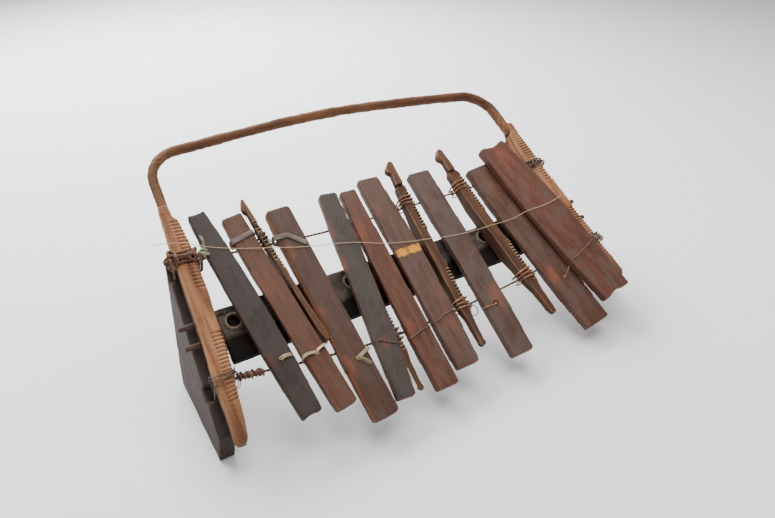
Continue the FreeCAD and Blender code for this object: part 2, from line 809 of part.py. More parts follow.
def make_panel(side, node):
    """A leaning end board: level foot, upright near end, top edge sloping up under the rail."""
    body = doc.addObject("PartDesign::Body", node)
    tilt = math.radians(DIMS["tilt"])
    rise = 1.0 / math.cos(math.radians(DIMS["panel_lean"]))
    leaned = Placement(Vector(0, 0, 0), Rotation(Vector(1, 0, 0), -side * DIMS["panel_lean"]))
    outline = new_sketch(body, node + "_outline", "YZ_Plane", offset=leaned)
    near, far, top_far = dim("panel_foot_near"), dim("panel_foot_far"), dim("panel_far_reach")
    points = [(-near, 0.0), (far, 0.0), (top_far, dim("panel_far_height") * rise)]
    rail_floor = DIMS["rail_top"] + DIMS["rail_depth"] + PANEL_GAP
    slot = DIMS["lashing_slot_depth"]
    for middle in LASHING_Y[side]:
        for offset, deep in ((SLOT_HALF, 0.0), (SLOT_HALF, slot), (-SLOT_HALF, slot), (-SLOT_HALF, 0.0)):
            along = middle + offset
            down = rail_floor + deep
            y = along * math.cos(tilt) + down * math.sin(tilt)
            z = along * math.sin(tilt) - down * math.cos(tilt) + DIMS["lift"]
            points.append((y, z * rise))
    points.append((-near, dim("panel_near_height") * rise))
    polygon(outline, points)
    board = pad(body, outline, node + "_board", dim("panel_thickness"), reversed_side=side > 0)
    board.UseCustomVector = True
    board.Direction = Vector(1, 0, 0)
    board.AlongSketchNormal = False
    doc.recompute()
    foot = Vector(side * DIMS["panel_foot_x"], -DIMS["setback"], 0)
    keep(body, node, Placement(foot, Rotation(Vector(0, 0, 1), -side * DIMS["panel_yaw"])))


make_panel(-1, "left_end_panel")
make_panel(1, "right_end_panel")

# ---------------------------------------------------------------- suspension cords

def make_suspension():
    """Two thongs from rail to rail under the keys, with a bark-wrapped stretch at the near left."""
    depth = DIMS["cord_depth"]
    radius = DIMS["cord_radius"]
    far_route = [Vector(-380.2, 159, -depth), Vector(-262, 150, -depth), Vector(-116, 138, -depth),
                 Vector(45, 143, -depth), Vector(184, 142, -depth), Vector(380.4, 148, -depth)]
    shape_part(tube(far_route, radius), "far_thong", stand())
    near_route = [Vector(-393.6, -64, -depth + 7), Vector(-344, -70, -depth), Vector(-262, -84, -depth),
                  Vector(-117, -100, -depth), Vector(37, -98, -depth), Vector(190, -90, -depth),
                  Vector(393.8, -72, -depth)]
    near_cord = tube(near_route, radius)
    shape_part(near_cord, "near_thong", stand())
    start, end = Vector(-388, -64.7, -depth + 6.2), Vector(-347, -69.6, -depth + 0.5)
    along = end - start
    wrap = Part.makeCylinder(5.0, along.Length, start, along)
    core = tube(near_route, radius + 0.1)
    shape_part(wrap.cut(core), "bark_wrapping", stand())


make_suspension()

# ---------------------------------------------------------------- lashings

# centre x, width round, cord radius and the turns' places on each side of the thong
RAIL_LASHINGS = {
    "left_far_lashing": (-397.6, 159.0, 37.0, 2.2, (-9.7, -5.1, 5.1, 9.7), 0.0, 0.0),
    "left_near_lashing": (-409.6, -64.0, 36.0, 1.0, (-7.4, -4.6, 4.6, 7.6), 0.0, 0.0),
    "right_far_lashing": (397.5, 148.0, 37.0, 1.6, (-8.4, -4.7, 4.7), 0.0, 0.0),
    "right_near_lashing": (410.6, -72.0, 35.6, 1.6, (-8.6, -4.8, 4.8, 8.6), 0.0, 0.0),
}


def make_rail_lashings():
    for node, (x, y, width, radius, starts, slant, lean) in RAIL_LASHINGS.items():
        turns = coil(width, DIMS["rail_depth"] + 0.6, radius, starts, slant)
        shape_part(turns, node, stand(in_plane(x, y, -DIMS["rail_top"] + 0.3, lean)))


make_rail_lashings()


SEPARATOR_CORD_Y = {1: (151.0,), 2: (139.6, -98.2), 3: (142.6, -97.4), 4: (142.4, -89.6)}


def make_separator_lashing(number):
    """Turns of cord round a separator and the thongs beneath it."""
    radius = 1.3
    rise = DIMS["separator_rise_%d" % number]
    width = DIMS["separator_width_%d" % number] + 0.8
    height = DIMS["cord_depth"] + DIMS["cord_radius"] + rise + 0.8
    centre_y = DIMS["separator_y_%d" % number]
    turns = []
    for line in SEPARATOR_CORD_Y[number]:
        group = coil(width, height, radius, (-8.2, -5.2, 5.2, 8.2))
        group.translate(Vector(0, line - centre_y, rise + 0.4))
        turns += group.Solids
    shape_part(Part.makeCompound(turns), "separator_%d_lashing" % number,
               stand(separator_places[number]))


for separator_number in SEPARATORS:
    make_separator_lashing(separator_number)


KNOT_PLACE = (-369.7, 158.2)
KNOT_AXIS = (118.2, -9.0)
KNOT_THICKNESS = 3.9
KNOT_SLACK = 0.3


def make_knot():
    """A knotted scrap of pale cloth round the far thong beside the first key."""
    centre = Vector(*KNOT_PLACE, -DIMS["cord_depth"])
    reach = DIMS["cord_radius"] + KNOT_SLACK + KNOT_THICKNESS
    knot = Part.makeTorus(reach, KNOT_THICKNESS, centre, Vector(*KNOT_AXIS, 0))
    shape_part(knot, "cloth_knot", stand())


make_knot()


def make_wire_ring():
    """A wire ring held to the near thong by a smaller wire link."""
    link = Part.makeTorus(9.0, 1.0, Vector(55, -99, -23), Vector(1, 0, 0))
    ring = Part.makeTorus(11.0, 1.1, Vector(55, -112, -20), Vector(-0.3, 0, 0.95))
    shape_part(Part.makeCompound([link, ring]), "wire_ring", stand())


make_wire_ring()

# ---------------------------------------------------------------- the loose string

STRING_ROUTE = [(-440, 198, -5.0), (-416, 191, 1.5), (-391, 182, 6.2), (-371, 168, 5.4),
                (-337, 154, 1.8), (-299, 140, 1.8), (-262, 126, 7.0), (-212, 113, 1.8),
                (-172, 103, 1.8), (-141, 94, 8.0), (-95, 81, 8.0), (-62, 70, 1.8), (-16, 57, 1.8),
                (42, 44, 7.0), (92, 37, 1.8), (135, 33, 1.8), (188, 30, 7.0), (228, 30, 1.8),
                (249, 30, 5.0), (270, 29, 22.8), (312, 28, 22.8), (345, 31, 22.8), (375, 37, 22.0),
                (391, 42, 4.5), (403, 46, -0.8)]

string = tube([Vector(x, y, z) for x, y, z in STRING_ROUTE], DIMS["string_radius"])
shape_part(string, "loose_string", stand())

# ---------------------------------------------------------------- check and export

doc.recompute()
failed = [item.Name for item in doc.Objects if "Invalid" in item.State or "Error" in item.State]
if failed:
    raise RuntimeError("failed objects: %s" % failed)
for item in NODES:
    solid = item.Shape
    if solid.isNull() or not solid.isValid():
        raise RuntimeError("bad solid: %s" % item.Label)
for item in NODES:
    box = item.Shape.BoundBox
    print("%-22s %2d solids %9.0f mm3  x %.0f..%.0f y %.0f..%.0f z %.0f..%.0f" % (
        item.Label, len(item.Shape.Solids), item.Shape.Volume,
        box.XMin, box.XMax, box.YMin, box.YMax, box.ZMin, box.ZMax))
    item.Shape.exportStep("parts/%s.step" % item.Label)
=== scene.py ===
"""Looks of a frame xylophone: carved keys, rails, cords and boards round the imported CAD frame.

Every place is in the "key plane" of the CAD model: X runs along the row of keys, Y along each key
from the player's end to the far end, and Z is square to the keys, with their tops at 0. STAND puts
that plane where the end boards hold it. Lengths are metres, and lists of places are millimetres.
"""

import math

import bpy
import numpy as np
from mathutils import Matrix, Vector


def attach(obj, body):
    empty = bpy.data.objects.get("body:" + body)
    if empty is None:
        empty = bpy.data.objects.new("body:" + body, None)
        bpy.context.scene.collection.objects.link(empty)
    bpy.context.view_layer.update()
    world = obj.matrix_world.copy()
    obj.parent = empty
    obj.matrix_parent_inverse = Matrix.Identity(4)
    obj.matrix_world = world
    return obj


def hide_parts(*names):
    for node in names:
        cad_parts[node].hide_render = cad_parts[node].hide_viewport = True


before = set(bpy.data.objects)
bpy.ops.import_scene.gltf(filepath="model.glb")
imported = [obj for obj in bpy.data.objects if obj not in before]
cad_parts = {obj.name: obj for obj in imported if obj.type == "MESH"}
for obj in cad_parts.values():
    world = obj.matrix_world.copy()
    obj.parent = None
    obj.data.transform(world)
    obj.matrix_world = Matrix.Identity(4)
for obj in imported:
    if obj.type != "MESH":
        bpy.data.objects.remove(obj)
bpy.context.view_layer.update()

MM = 0.001
TILT = math.radians(32.0)
LIFT, SETBACK = 163.0 * MM, 80.5 * MM
STAND = Matrix.Translation((0, -SETBACK, LIFT)) @ Matrix.Rotation(TILT, 4, "X")
KEYS = range(1, 10)
SEPARATORS = range(1, 5)

# ---------------------------------------------------------------- numbers and noise


def colour(text):
    """Linear red, green, blue and alpha from a six-digit colour."""
    parts = [int(text[i:i + 2], 16) / 255 for i in (0, 2, 4)]
    linear = [p / 12.92 if p <= 0.04045 else ((p + 0.055) / 1.055) ** 2.4 for p in parts]
    return (*linear, 1.0)


def lattice_noise(points, seed):
    """Smooth noise from -1 to 1 at each point, one unit from corner to corner of its lattice."""
    cell = np.floor(points).astype(np.int64)
    part = points - cell
    part = part * part * (3 - 2 * part)
    total = np.zeros(len(points))
    for corner in np.ndindex(2, 2, 2):
        at = cell + np.array(corner)
        mixed = at[:, 0] * 73856093 ^ at[:, 1] * 19349663 ^ at[:, 2] * 83492791 ^ seed * 26544357
        mixed = ((mixed & 0x7FFFFFFF) ^ ((mixed & 0x7FFFFFFF) >> 13)) * 1274126177 & 0x7FFFFFFF
        value = ((mixed ^ (mixed >> 16)) % 65536) / 32768 - 1
        weight = np.prod(np.where(corner, part, 1 - part), axis=1)
        total += weight * value
    return total


def smooth_step(low, high, values):
    share = np.clip((values - low) / (high - low), 0, 1)
    return share * share * (3 - 2 * share)


def spline_points(places, step):
    """Points a step apart along the smooth line that a list of places in millimetres controls."""
    curve = bpy.data.curves.new("line", "CURVE")
    curve.dimensions = "3D"
    spline = curve.splines.new("NURBS")
    spline.points.add(len(places) - 1)
    for point, place in zip(spline.points, places):
        point.co = (*(value * MM for value in place), 1.0)
    spline.use_endpoint_u = True
    spline.order_u = 3
    spline.resolution_u = 16
    carrier = bpy.data.objects.new("line", curve)
    mesh = bpy.data.meshes.new_from_object(carrier)
    line = np.array([v.co for v in mesh.vertices])
    bpy.data.objects.remove(carrier)
    bpy.data.curves.remove(curve)
    bpy.data.meshes.remove(mesh)
    return even(line, step)


def even(line, step):
    """The same line with its points evenly spaced."""
    lengths = np.linalg.norm(np.diff(line, axis=0), axis=1)
    along = np.concatenate([[0], np.cumsum(lengths)])
    count = max(3, int(along[-1] / step) + 1)
    wanted = np.linspace(0, along[-1], count)
    return np.stack([np.interp(wanted, along, line[:, i]) for i in range(3)], axis=1)


# ---------------------------------------------------------------- places read from the frame


def plane_points(node, place=STAND):
    """A CAD node's vertices in the frame that place gives."""
    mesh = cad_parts[node].data
    flat = np.empty(len(mesh.vertices) * 3)
    mesh.vertices.foreach_get("co", flat)
    inverse = np.array(place.inverted())
    return flat.reshape(-1, 3) @ inverse[:3, :3].T + inverse[:3, 3]


def lying_frame(node):
    """The own frame of a piece that lies along Y in the key plane, with its top at Z = 0."""
    end_band = 20 * MM
    points = plane_points(node)
    near = points[points[:, 1] < points[:, 1].min() + end_band].mean(0)
    far = points[points[:, 1] > points[:, 1].max() - end_band].mean(0)
    lean = math.atan2(near[0] - far[0], far[1] - near[1])
    middle = (near + far) / 2
    centre = Matrix.Translation((middle[0], middle[1], points[:, 2].max()))
    return STAND @ centre @ Matrix.Rotation(lean, 4, "Z")


CAD_TIE_RADIUS = 1.5 * MM


def near_hole(number):
    """Where the near cord comes up through a key, in the key plane."""
    points = plane_points("key_%d_tie" % number)
    return points[:, 0].max() - CAD_TIE_RADIUS, points[:, 1].min() + CAD_TIE_RADIUS


# ---------------------------------------------------------------- materials


class Shader:
    """A material's nodes, each made and joined in one call."""

    def __init__(self, name):
        self.material = bpy.data.materials.new(name)
        self.material.use_nodes = True
        self.tree = self.material.node_tree
        self.surface = self.tree.nodes["Principled BSDF"]

    def join(self, socket, value):
        if isinstance(value, bpy.types.NodeSocket):
            self.tree.links.new(value, socket)
        else:
            socket.default_value = value

    def node(self, kind, inputs=None, output=0, **settings):
        made = self.tree.nodes.new("ShaderNode" + kind)
        for name, value in settings.items():
            setattr(made, name, value)
        for key, value in (inputs or {}).items():
            self.join(made.inputs[key], value)
        return made.outputs[output]

    def attribute(self, name, output="Fac"):
        made = self.tree.nodes.new("ShaderNodeAttribute")
        made.attribute_name = name
        return made.outputs[output]

    def noise(self, vector, scale, seed=0.0, detail=4.0, rough=0.55):
        """Noise over the vector, stretched by a scale for each axis."""
        moved = self.node("Mapping", {"Vector": vector, "Location": (seed, seed * 0.7, seed * 1.3),
                                      "Scale": scale})
        made = self.tree.nodes.new("ShaderNodeTexNoise")
        self.join(made.inputs["Vector"], moved)
        made.inputs["Scale"].default_value = 1.0
        made.inputs["Detail"].default_value = detail
        made.inputs["Roughness"].default_value = rough
        return made.outputs["Fac"]

    def math(self, operation, first, second=0.5, clamp=False):
        return self.node("Math", {0: first, 1: second}, operation=operation, use_clamp=clamp)

    def spread(self, value, low, high, to_low=0.0, to_high=1.0):
        """Value from low to high, eased to run from to_low to to_high."""
        return self.node("MapRange", {"Value": value, "From Min": low, "From Max": high,
                                      "To Min": to_low, "To Max": to_high},
                         interpolation_type="SMOOTHSTEP")

    def mix(self, share, first, second):
        made = self.tree.nodes.new("ShaderNodeMix")
        made.data_type = "RGBA"
        self.join(made.inputs[0], share)
        self.join(made.inputs[6], first)
        self.join(made.inputs[7], second)
        return made.outputs[2]

    def bump(self, height, distance, strength=1.0):
        return self.node("Bump", {"Height": height, "Distance": distance, "Strength": strength})


# noise scales across, along and through the grain, to the metre
BAND_GRAIN = (110, 8, 110)
FIBRE_GRAIN = (900, 24, 900)
BLOTCH_GRAIN = (34, 17, 34)
SPECK_GRAIN = (420, 300, 420)
CRACK_GRAIN = (150, 2.2, 150)


def wood(name, body, deep, film_and_sheen, worn, seed=0.0, film_and_sheen_cover=0.5, wear=1.0, gloss=0.5, dark="1c1512",
         crack=0.0, patch=None, shine=0.22):
    """Old hand-worked wood, its grain along Y of the grain attribute.

    body and deep are the bands of the grain, film_and_sheen the grey film over part of it, partly painted
    sheen, worn the fresher wood of rubbed edges, and dark the painted shade in hollows and inner corners
    and the colour of the dark attribute, which is real smoke, burns and stains on some pieces and painted
    shade on others.
    """
    s = Shader(name)
    grain = s.attribute("grain", "Vector")
    bands = s.noise(grain, BAND_GRAIN, seed, 5, 0.55)
    fibres = s.noise(grain, FIBRE_GRAIN, seed + 3, 5, 0.65)
    blotches = s.noise(grain, BLOTCH_GRAIN, seed + 7, 6, 0.62)
    specks = s.noise(grain, SPECK_GRAIN, seed + 11, 3, 0.6)
    base = s.mix(s.spread(bands, 0.30, 0.70), colour(deep), colour(body))
    base = s.mix(s.math("MULTIPLY", s.spread(fibres, 0.46, 0.74), 0.22), base, colour(deep))
    # grey film over part of the surface, partly painted sheen
    film_and_sheen_share = s.spread(blotches, 0.60 - 0.25 * film_and_sheen_cover, 0.80 - 0.35 * film_and_sheen_cover, 0.0, 0.25 + 0.6 * film_and_sheen_cover)
    base = s.mix(film_and_sheen_share, base, colour(film_and_sheen))
    edge = s.attribute("edge")
    rub = s.attribute("rub")
    ragged = s.math("MULTIPLY_ADD", blotches, 0.9)
    ragged.node.inputs[2].default_value = -0.12
    wearing = s.math("MULTIPLY", s.spread(edge, 0.12, 0.6), 0.8 * wear)
    wearing = s.math("ADD", wearing, rub)
    wearing = s.math("MULTIPLY", wearing, s.spread(ragged, 0.12, 0.5), clamp=True)
    base = s.mix(wearing, base, colour(worn))
    # painted shade in hollows and inner corners, where the edge attribute is below zero, plus the dark
    # attribute, which is real smoke, burns and stains on some pieces and painted shade on others
    grime_and_shade = s.math("ADD", s.spread(edge, -0.08, -0.45), s.attribute("dark"), clamp=True)
    grime_and_shade = s.math("MULTIPLY", grime_and_shade, s.spread(specks, 0.2, 0.45, 0.75, 1.0))
    base = s.mix(grime_and_shade, base, colour(dark))
    # small grey specks in the film and painted sheen colour
    base = s.mix(s.spread(specks, 0.66, 0.74, 0.0, 0.3), base, colour(film_and_sheen))
    if crack:
        lines = s.noise(grain, CRACK_GRAIN, seed + 17, 2, 0.4)
        near_half = s.math("ABSOLUTE", s.math("SUBTRACT", lines, 0.5))
        split = s.spread(near_half, 0.004, 0.0005, 0.0, crack)
        base = s.mix(split, base, colour(dark))
    if patch:
        base = s.mix(patch_mask(s, grain, *patch), base, patch_colour(s, grain))
    s.join(s.surface.inputs["Base Color"], base)
    polish = s.spread(blotches, 0.3, 0.7, 0.72 - 0.36 * gloss, 0.9 - 0.4 * gloss)
    rough = s.math("ADD", polish, s.math("MULTIPLY", grime_and_shade, 0.12), clamp=True)
    s.join(s.surface.inputs["Roughness"], rough)
    s.surface.inputs["Specular IOR Level"].default_value = shine
    height = s.math("ADD", s.math("MULTIPLY", fibres, 0.7), s.math("MULTIPLY", specks, 0.35))
    height = s.math("ADD", height, s.math("MULTIPLY", bands, 0.6))
    s.join(s.surface.inputs["Normal"], s.bump(height, 0.0006, 0.5))
    return s.material


def patch_mask(s, grain, left, right, near, far):
    """A ragged rectangle on the top face, its sides in metres in the piece's own frame."""
    wobble = s.noise(grain, (120, 120, 120), 5.0, 3, 0.7)
    shift = s.math("MULTIPLY", s.math("SUBTRACT", wobble, 0.5), 0.012)
    axes = s.tree.nodes.new("ShaderNodeSeparateXYZ")
    s.join(axes.inputs[0], grain)
    mask = s.spread(axes.outputs[2], -0.003, -0.002)
    for axis, low, high in ((0, left, right), (1, near, far)):
        moved = s.math("ADD", axes.outputs[axis], shift)
        middle, half = (low + high) / 2, (high - low) / 2
        apart = s.math("ABSOLUTE", s.math("SUBTRACT", moved, middle))
        mask = s.math("MULTIPLY", mask, s.spread(apart, half, half - 0.0012))
    return s.math("MULTIPLY", mask, s.spread(wobble, 0.25, 0.42, 0.35, 0.95))


def patch_colour(s, grain):
    """Faded yellow paper, stained brown in places."""
    stains = s.noise(grain, (90, 60, 90), 9.0, 4, 0.6)
    return s.mix(s.spread(stains, 0.42, 0.66), colour("e29a34"), colour("b06a24"))


def cord_material(name, light, dark, seed=0.0, rough=0.75, fine=1.0, bump=0.0006):
    """Hide, bark, wire or string: streaks along the strand, over patches of light and dark."""
    s = Shader(name)
    grain = s.attribute("grain", "Vector")
    streaks = s.noise(grain, (900 * fine, 60 * fine, 900 * fine), seed, 4, 0.6)
    mottle = s.noise(grain, (160 * fine, 45 * fine, 160 * fine), seed + 5, 4, 0.6)
    base = s.mix(s.spread(mottle, 0.34, 0.66), colour(dark), colour(light))
    base = s.mix(s.spread(streaks, 0.46, 0.72, 0.0, 0.55), base, colour(dark))
    s.join(s.surface.inputs["Base Color"], base)
    s.join(s.surface.inputs["Roughness"], s.spread(mottle, 0.3, 0.7, rough + 0.1, rough - 0.1))
    height = s.math("ADD", streaks, s.math("MULTIPLY", mottle, 0.6))
    s.join(s.surface.inputs["Normal"], s.bump(height, bump, 0.6))
    return s.material


# ---------------------------------------------------------------- carved pieces


def neighbours_mean(values, edges, count):
    """Each vertex's mean over the vertices that it shares an edge with."""
    shares = np.bincount(edges.ravel(), minlength=count).astype(float)
    shares[shares == 0] = 1.0
    total = np.empty_like(values)
    for column in range(values.shape[1]):
        total[:, column] = (np.bincount(edges[:, 0], values[edges[:, 1], column], count)
                            + np.bincount(edges[:, 1], values[edges[:, 0], column], count))
    return total / shares[:, None]


def mesh_arrays(mesh):
    points = np.empty(len(mesh.vertices) * 3)
    mesh.vertices.foreach_get("co", points)
    normals = np.empty(len(mesh.vertices) * 3)
    mesh.vertex_normals.foreach_get("vector", normals)
    edges = np.empty(len(mesh.edges) * 2, int)
    mesh.edges.foreach_get("vertices", edges)
    return points.reshape(-1, 3), normals.reshape(-1, 3), edges.reshape(-1, 2)


def store(mesh, name, values):
    """Keeps one number or one vector a vertex on the mesh, under a name that materials read."""
    vector = values.ndim == 2
    kept = mesh.attributes.new(name, "FLOAT_VECTOR" if vector else "FLOAT", "POINT")
    kept.data.foreach_set("vector" if vector else "value", values.astype(np.float32).ravel())


def convexity(points, normals, edges):
    """About 1 on a sharp outer edge, 0 on a flat and -1 in a sharp inner corner."""
    count = len(points)
    step = np.linalg.norm(points[edges[:, 0]] - points[edges[:, 1]], axis=1).mean()
    pull = points - neighbours_mean(points, edges, count)
    bend = np.einsum("ij,ij->i", pull, normals)[:, None] / step
    for _ in range(4):
        bend = (bend + neighbours_mean(bend, edges, count)) / 2
    return np.clip(bend[:, 0] * 6.0, -1, 1)


def add_piece(name, mesh, material, place, body, nodes):
    """Links a finished mesh, hides the CAD nodes that it takes the place of, and hangs it on the body it
    rides on.
    """
    mesh.transform(place)
    piece = bpy.data.objects.new(name, mesh)
    bpy.context.scene.collection.objects.link(piece)
    mesh.materials.clear()
    mesh.materials.append(material)
    mesh.polygons.foreach_set("use_smooth", [True] * len(mesh.polygons))
    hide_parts(*nodes)
    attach(piece, body)
    return piece


# lattice steps a metre of the carver's waves, tool facets, nicks and worn stretches of edge
WAVES, FACETS = (70, 22, 70), (190, 80, 190)
NICKS, WORN_STRETCHES = (480, 300, 480), (60, 45, 60)
FACET_SHARE = 0.45
EDGE_LOSS = 0.9


def carve(name, node, material, place, body, voxel, soften=2, uneven=0.4, chips=0.12,
          shape=None, rub=None, dark=None, seed=1, grain=None):
    """A hand-carved copy of a CAD node: its edges rubbed round and its faces a little uneven.

    shape moves vertices, rub and dark give a share a vertex and grain its place along the fibres,
    each from the vertices in the piece's own frame.
    """
    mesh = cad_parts[node].data.copy()
    mesh.transform(place.inverted())
    blank = bpy.data.objects.new("blank", mesh)
    bpy.context.scene.collection.objects.link(blank)
    remesh = blank.modifiers.new("remesh", "REMESH")
    remesh.mode = "VOXEL"
    remesh.voxel_size = voxel
    ease = blank.modifiers.new("ease", "SMOOTH")
    ease.factor = 0.5
    ease.iterations = soften
    bpy.context.view_layer.update()
    graph = bpy.context.evaluated_depsgraph_get()
    carved = bpy.data.meshes.new_from_object(blank.evaluated_get(graph))
    bpy.data.objects.remove(blank)
    bpy.data.meshes.remove(mesh)

    points, normals, edges = mesh_arrays(carved)
    start = points.copy()
    if shape:
        points = shape(points)
    waves = lattice_noise(start * WAVES, seed)
    facets = lattice_noise(start * FACETS, seed + 1)
    nicks = lattice_noise(start * NICKS, seed + 2)
    sharp = convexity(start, normals, edges)
    worn_edge = np.clip(sharp, 0, 1) * (0.5 + 0.5 * lattice_noise(start * WORN_STRETCHES, seed + 3))
    move = uneven * (waves + FACET_SHARE * facets) + chips * nicks - EDGE_LOSS * worn_edge
    points = points + normals * (move * MM)[:, None]
    carved.vertices.foreach_set("co", points.ravel())
    carved.update()
    store(carved, "grain", start if grain is None else grain(start))
    store(carved, "edge", sharp)
    store(carved, "rub", np.zeros(len(start)) if rub is None else rub(start))
    store(carved, "dark", np.zeros(len(start)) if dark is None else dark(start))
    carved.name = name
    return add_piece(name, carved, material, place, body, [node])


# ---------------------------------------------------------------- cords


# how far a rope's plies lie from its centre line and how thick they are, as shares of its radius
PLY_OFFSET, PLY_RADIUS = 0.52, 0.56


class Bundle:
    """Several tubes and strips that make one piece."""

    def __init__(self):
        self.points, self.faces, self.grain, self.count = [], [], [], 0

    def tube(self, line, radius, sides=8, width=1.0, closed=False, up=(0, 0, 1), square=1.0):
        """A tube along a line. width stretches its section sideways and up is its first upright."""
        line = np.asarray(line, float)
        rows = len(line)
        if closed:
            heading = np.roll(line, -1, axis=0) - np.roll(line, 1, axis=0)
        else:
            heading = np.gradient(line, axis=0)
        heading /= np.linalg.norm(heading, axis=1)[:, None] + 1e-12
        uprights = np.empty_like(line)
        upright = np.array(up, float)
        if abs(upright @ heading[0]) > 0.9:
            upright = np.array((0.0, 1.0, 0.0)) if abs(heading[0][1]) < 0.8 else np.array((1.0, 0, 0))
        for row in range(rows):
            upright = upright - heading[row] * (upright @ heading[row])
            upright /= np.linalg.norm(upright)
            uprights[row] = upright
        across = np.cross(heading, uprights)
        if closed:
            turn = math.atan2(across[-1] @ uprights[0], uprights[-1] @ uprights[0])
            angles = -turn * np.linspace(0, 1, rows)
            c, s = np.cos(angles)[:, None], np.sin(angles)[:, None]
            uprights, across = uprights * c - across * s, across * c + uprights * s
        angle = np.linspace(0, 2 * math.pi, sides, endpoint=False)
        cosine, sine = np.cos(angle), np.sin(angle)
        flat_x = np.sign(cosine) * np.abs(cosine) ** square
        flat_y = np.sign(sine) * np.abs(sine) ** square
        size = np.broadcast_to(np.asarray(radius, float), rows)[:, None, None]
        ring = (across[:, None, :] * flat_x[None, :, None] * width
                + uprights[:, None, :] * flat_y[None, :, None])
        body = line[:, None, :] + ring * size
        steps = np.linalg.norm(np.diff(line, axis=0), axis=1)
        along = np.concatenate([[0], np.cumsum(steps)])[:, None] + np.zeros((1, sides))
        grain = np.stack([size[:, :, 0] * flat_x[None] * width, along + self.count * MM,
                          size[:, :, 0] * flat_y[None]], axis=2)
        first = self.count
        for row in range(rows if closed else rows - 1):
            here, there = first + row * sides, first + (row + 1) % rows * sides
            for side in range(sides):
                after = (side + 1) % sides
                self.faces.append((here + side, there + side, there + after, here + after))
        if not closed:
            last = first + (rows - 1) * sides
            self.faces.append(tuple(range(first, first + sides)))
            self.faces.append(tuple(range(last + sides - 1, last - 1, -1)))
        self.points.append(body.reshape(-1, 3))
        self.grain.append(grain.reshape(-1, 3))
        self.count += rows * sides

    def rope(self, line, radius, plies=2, pitch=9 * MM, sides=7):
        """Plies twisted round a line."""
        line = even(np.asarray(line, float), pitch / 10)
        heading = np.gradient(line, axis=0)
        heading /= np.linalg.norm(heading, axis=1)[:, None]
        side = np.cross(heading, (0.13, 0.21, 0.97))
        side /= np.linalg.norm(side, axis=1)[:, None]
        rise = np.cross(side, heading)
        steps = np.linalg.norm(np.diff(line, axis=0), axis=1)
        along = np.concatenate([[0], np.cumsum(steps)])
        for ply in range(plies):
            angle = 2 * math.pi * (along / pitch + ply / plies)
            offset = side * np.cos(angle)[:, None] + rise * np.sin(angle)[:, None]
            self.tube(line + offset * radius * PLY_OFFSET, radius * PLY_RADIUS, sides)

    def piece(self, name, material, place, body, slot, nodes):
        mesh = bpy.data.meshes.new(name)
        mesh.from_pydata(np.concatenate(self.points).tolist(), [], self.faces)
        mesh.validate()
        store(mesh, "grain", np.concatenate(self.grain))
        mesh.update()
        return add_piece(name, mesh, material, place, body, nodes)


def turn_round(width, height, y, slant, seed, spread=0.6 * MM):
    """One closed turn of cord round a bar whose top is at Z = 0, leaning by slant from side to side."""
    t = np.linspace(0, 2 * math.pi, 72, endpoint=False)
    corner = 0.36
    x = width / 2 * np.sign(np.cos(t)) * np.abs(np.cos(t)) ** corner
    z = height / 2 * np.sign(np.sin(t)) * np.abs(np.sin(t)) ** corner - height / 2
    drift = lattice_noise(np.stack([np.cos(t) * 1.5, np.sin(t) * 1.5, np.full_like(t, seed * 3.7)], 1), seed)
    return np.stack([x, y + slant * np.cos(t) + spread * drift, z], axis=1)


def tangle(centre, radii, winds, seed):
    """A closed line in metres that winds over an egg shape, as a hard-drawn knot does."""
    t = np.linspace(0, 2 * math.pi, 60 * winds, endpoint=False)
    latitude = 1.15 * np.sin((winds + 1) * t + seed)
    longitude = winds * t + 0.5 * np.sin(2 * t + seed * 1.7)
    swell = 1 + 0.10 * np.sin((2 * winds + 1) * t + seed)
    way = np.stack([np.cos(latitude) * np.cos(longitude), np.cos(latitude) * np.sin(longitude),
                    np.sin(latitude)], axis=1)
    return np.array(centre) * MM + way * swell[:, None] * np.array(radii) * MM


# ---------------------------------------------------------------- keys

# body, deep, film and painted sheen, worn, how much film and sheen covers it, wear
KEY_LOOKS = {
    1: ("3a2c26", "2c2320", "403733", "5a3222", 0.75, 0.55),
    2: ("62402f", "513324", "5f473c", "8a4f34", 0.5, 0.7),
    3: ("543b2f", "452f25", "53423a", "8a5230", 0.50, 1.0),
    4: ("463a34", "392f2b", "4b423c", "844828", 0.75, 0.9),
    5: ("63402f", "502f23", "5d4a41", "844a32", 0.5, 0.8),
    6: ("5e4438", "4f372e", "5e4b42", "824c38", 0.6, 0.7),
    7: ("573f34", "49342b", "594b45", "824c38", 0.72, 0.8),
    8: ("5c3f31", "4c3025", "5a4841", "8a4c34", 0.65, 0.8),
    9: ("633f31", "513024", "5e4a42", "8c4431", 0.58, 0.8),
}
# places in the key plane that are rubbed down to fresher wood: x, y, reach and share
RUBBED = {
    1: [(-338, -68, 13, 1.0), (-350, 20, 12, 0.3)],
    2: [(-294, 60, 24, 0.35), (-262, -80, 14, 0.4)],
    3: [(-226, 110, 14, 0.5), (-225, -20, 12, 0.5), (-222, -125, 16, 0.8)],
    4: [(-140, 120, 12, 0.5), (-152, 55, 14, 0.7), (-146, -108, 12, 0.5)],
    5: [(-84, 105, 26, 0.8), (-85, -100, 14, 0.7), (-100, -118, 12, 0.6), (-60, 20, 18, 0.25)],
    6: [(-30, 138, 16, 0.35), (-38, 60, 14, 0.3), (-14, -112, 24, 0.5), (0, -60, 18, 0.3)],
    7: [(85, 130, 14, 0.3), (104, -112, 22, 0.65), (116, -95, 16, 0.5)],
    8: [(250, 110, 26, 0.25), (252, -112, 17, 0.8), (278, 40, 26, 0.25)],
    9: [(306, 170, 34, 0.5), (318, 100, 30, 0.25), (322, 40, 24, 0.25), (330, -40, 22, 0.2)],
}
KEY_VOXEL = 1.8 * MM
BEVEL_WIDTH, BEVEL_DROP = 6.5 * MM, 3.5 * MM
BEVELLED_KEYS = (3,)
STAINED_KEY = 6
STAIN = (-24 * MM, 31 * MM, 24 * MM, 41 * MM)


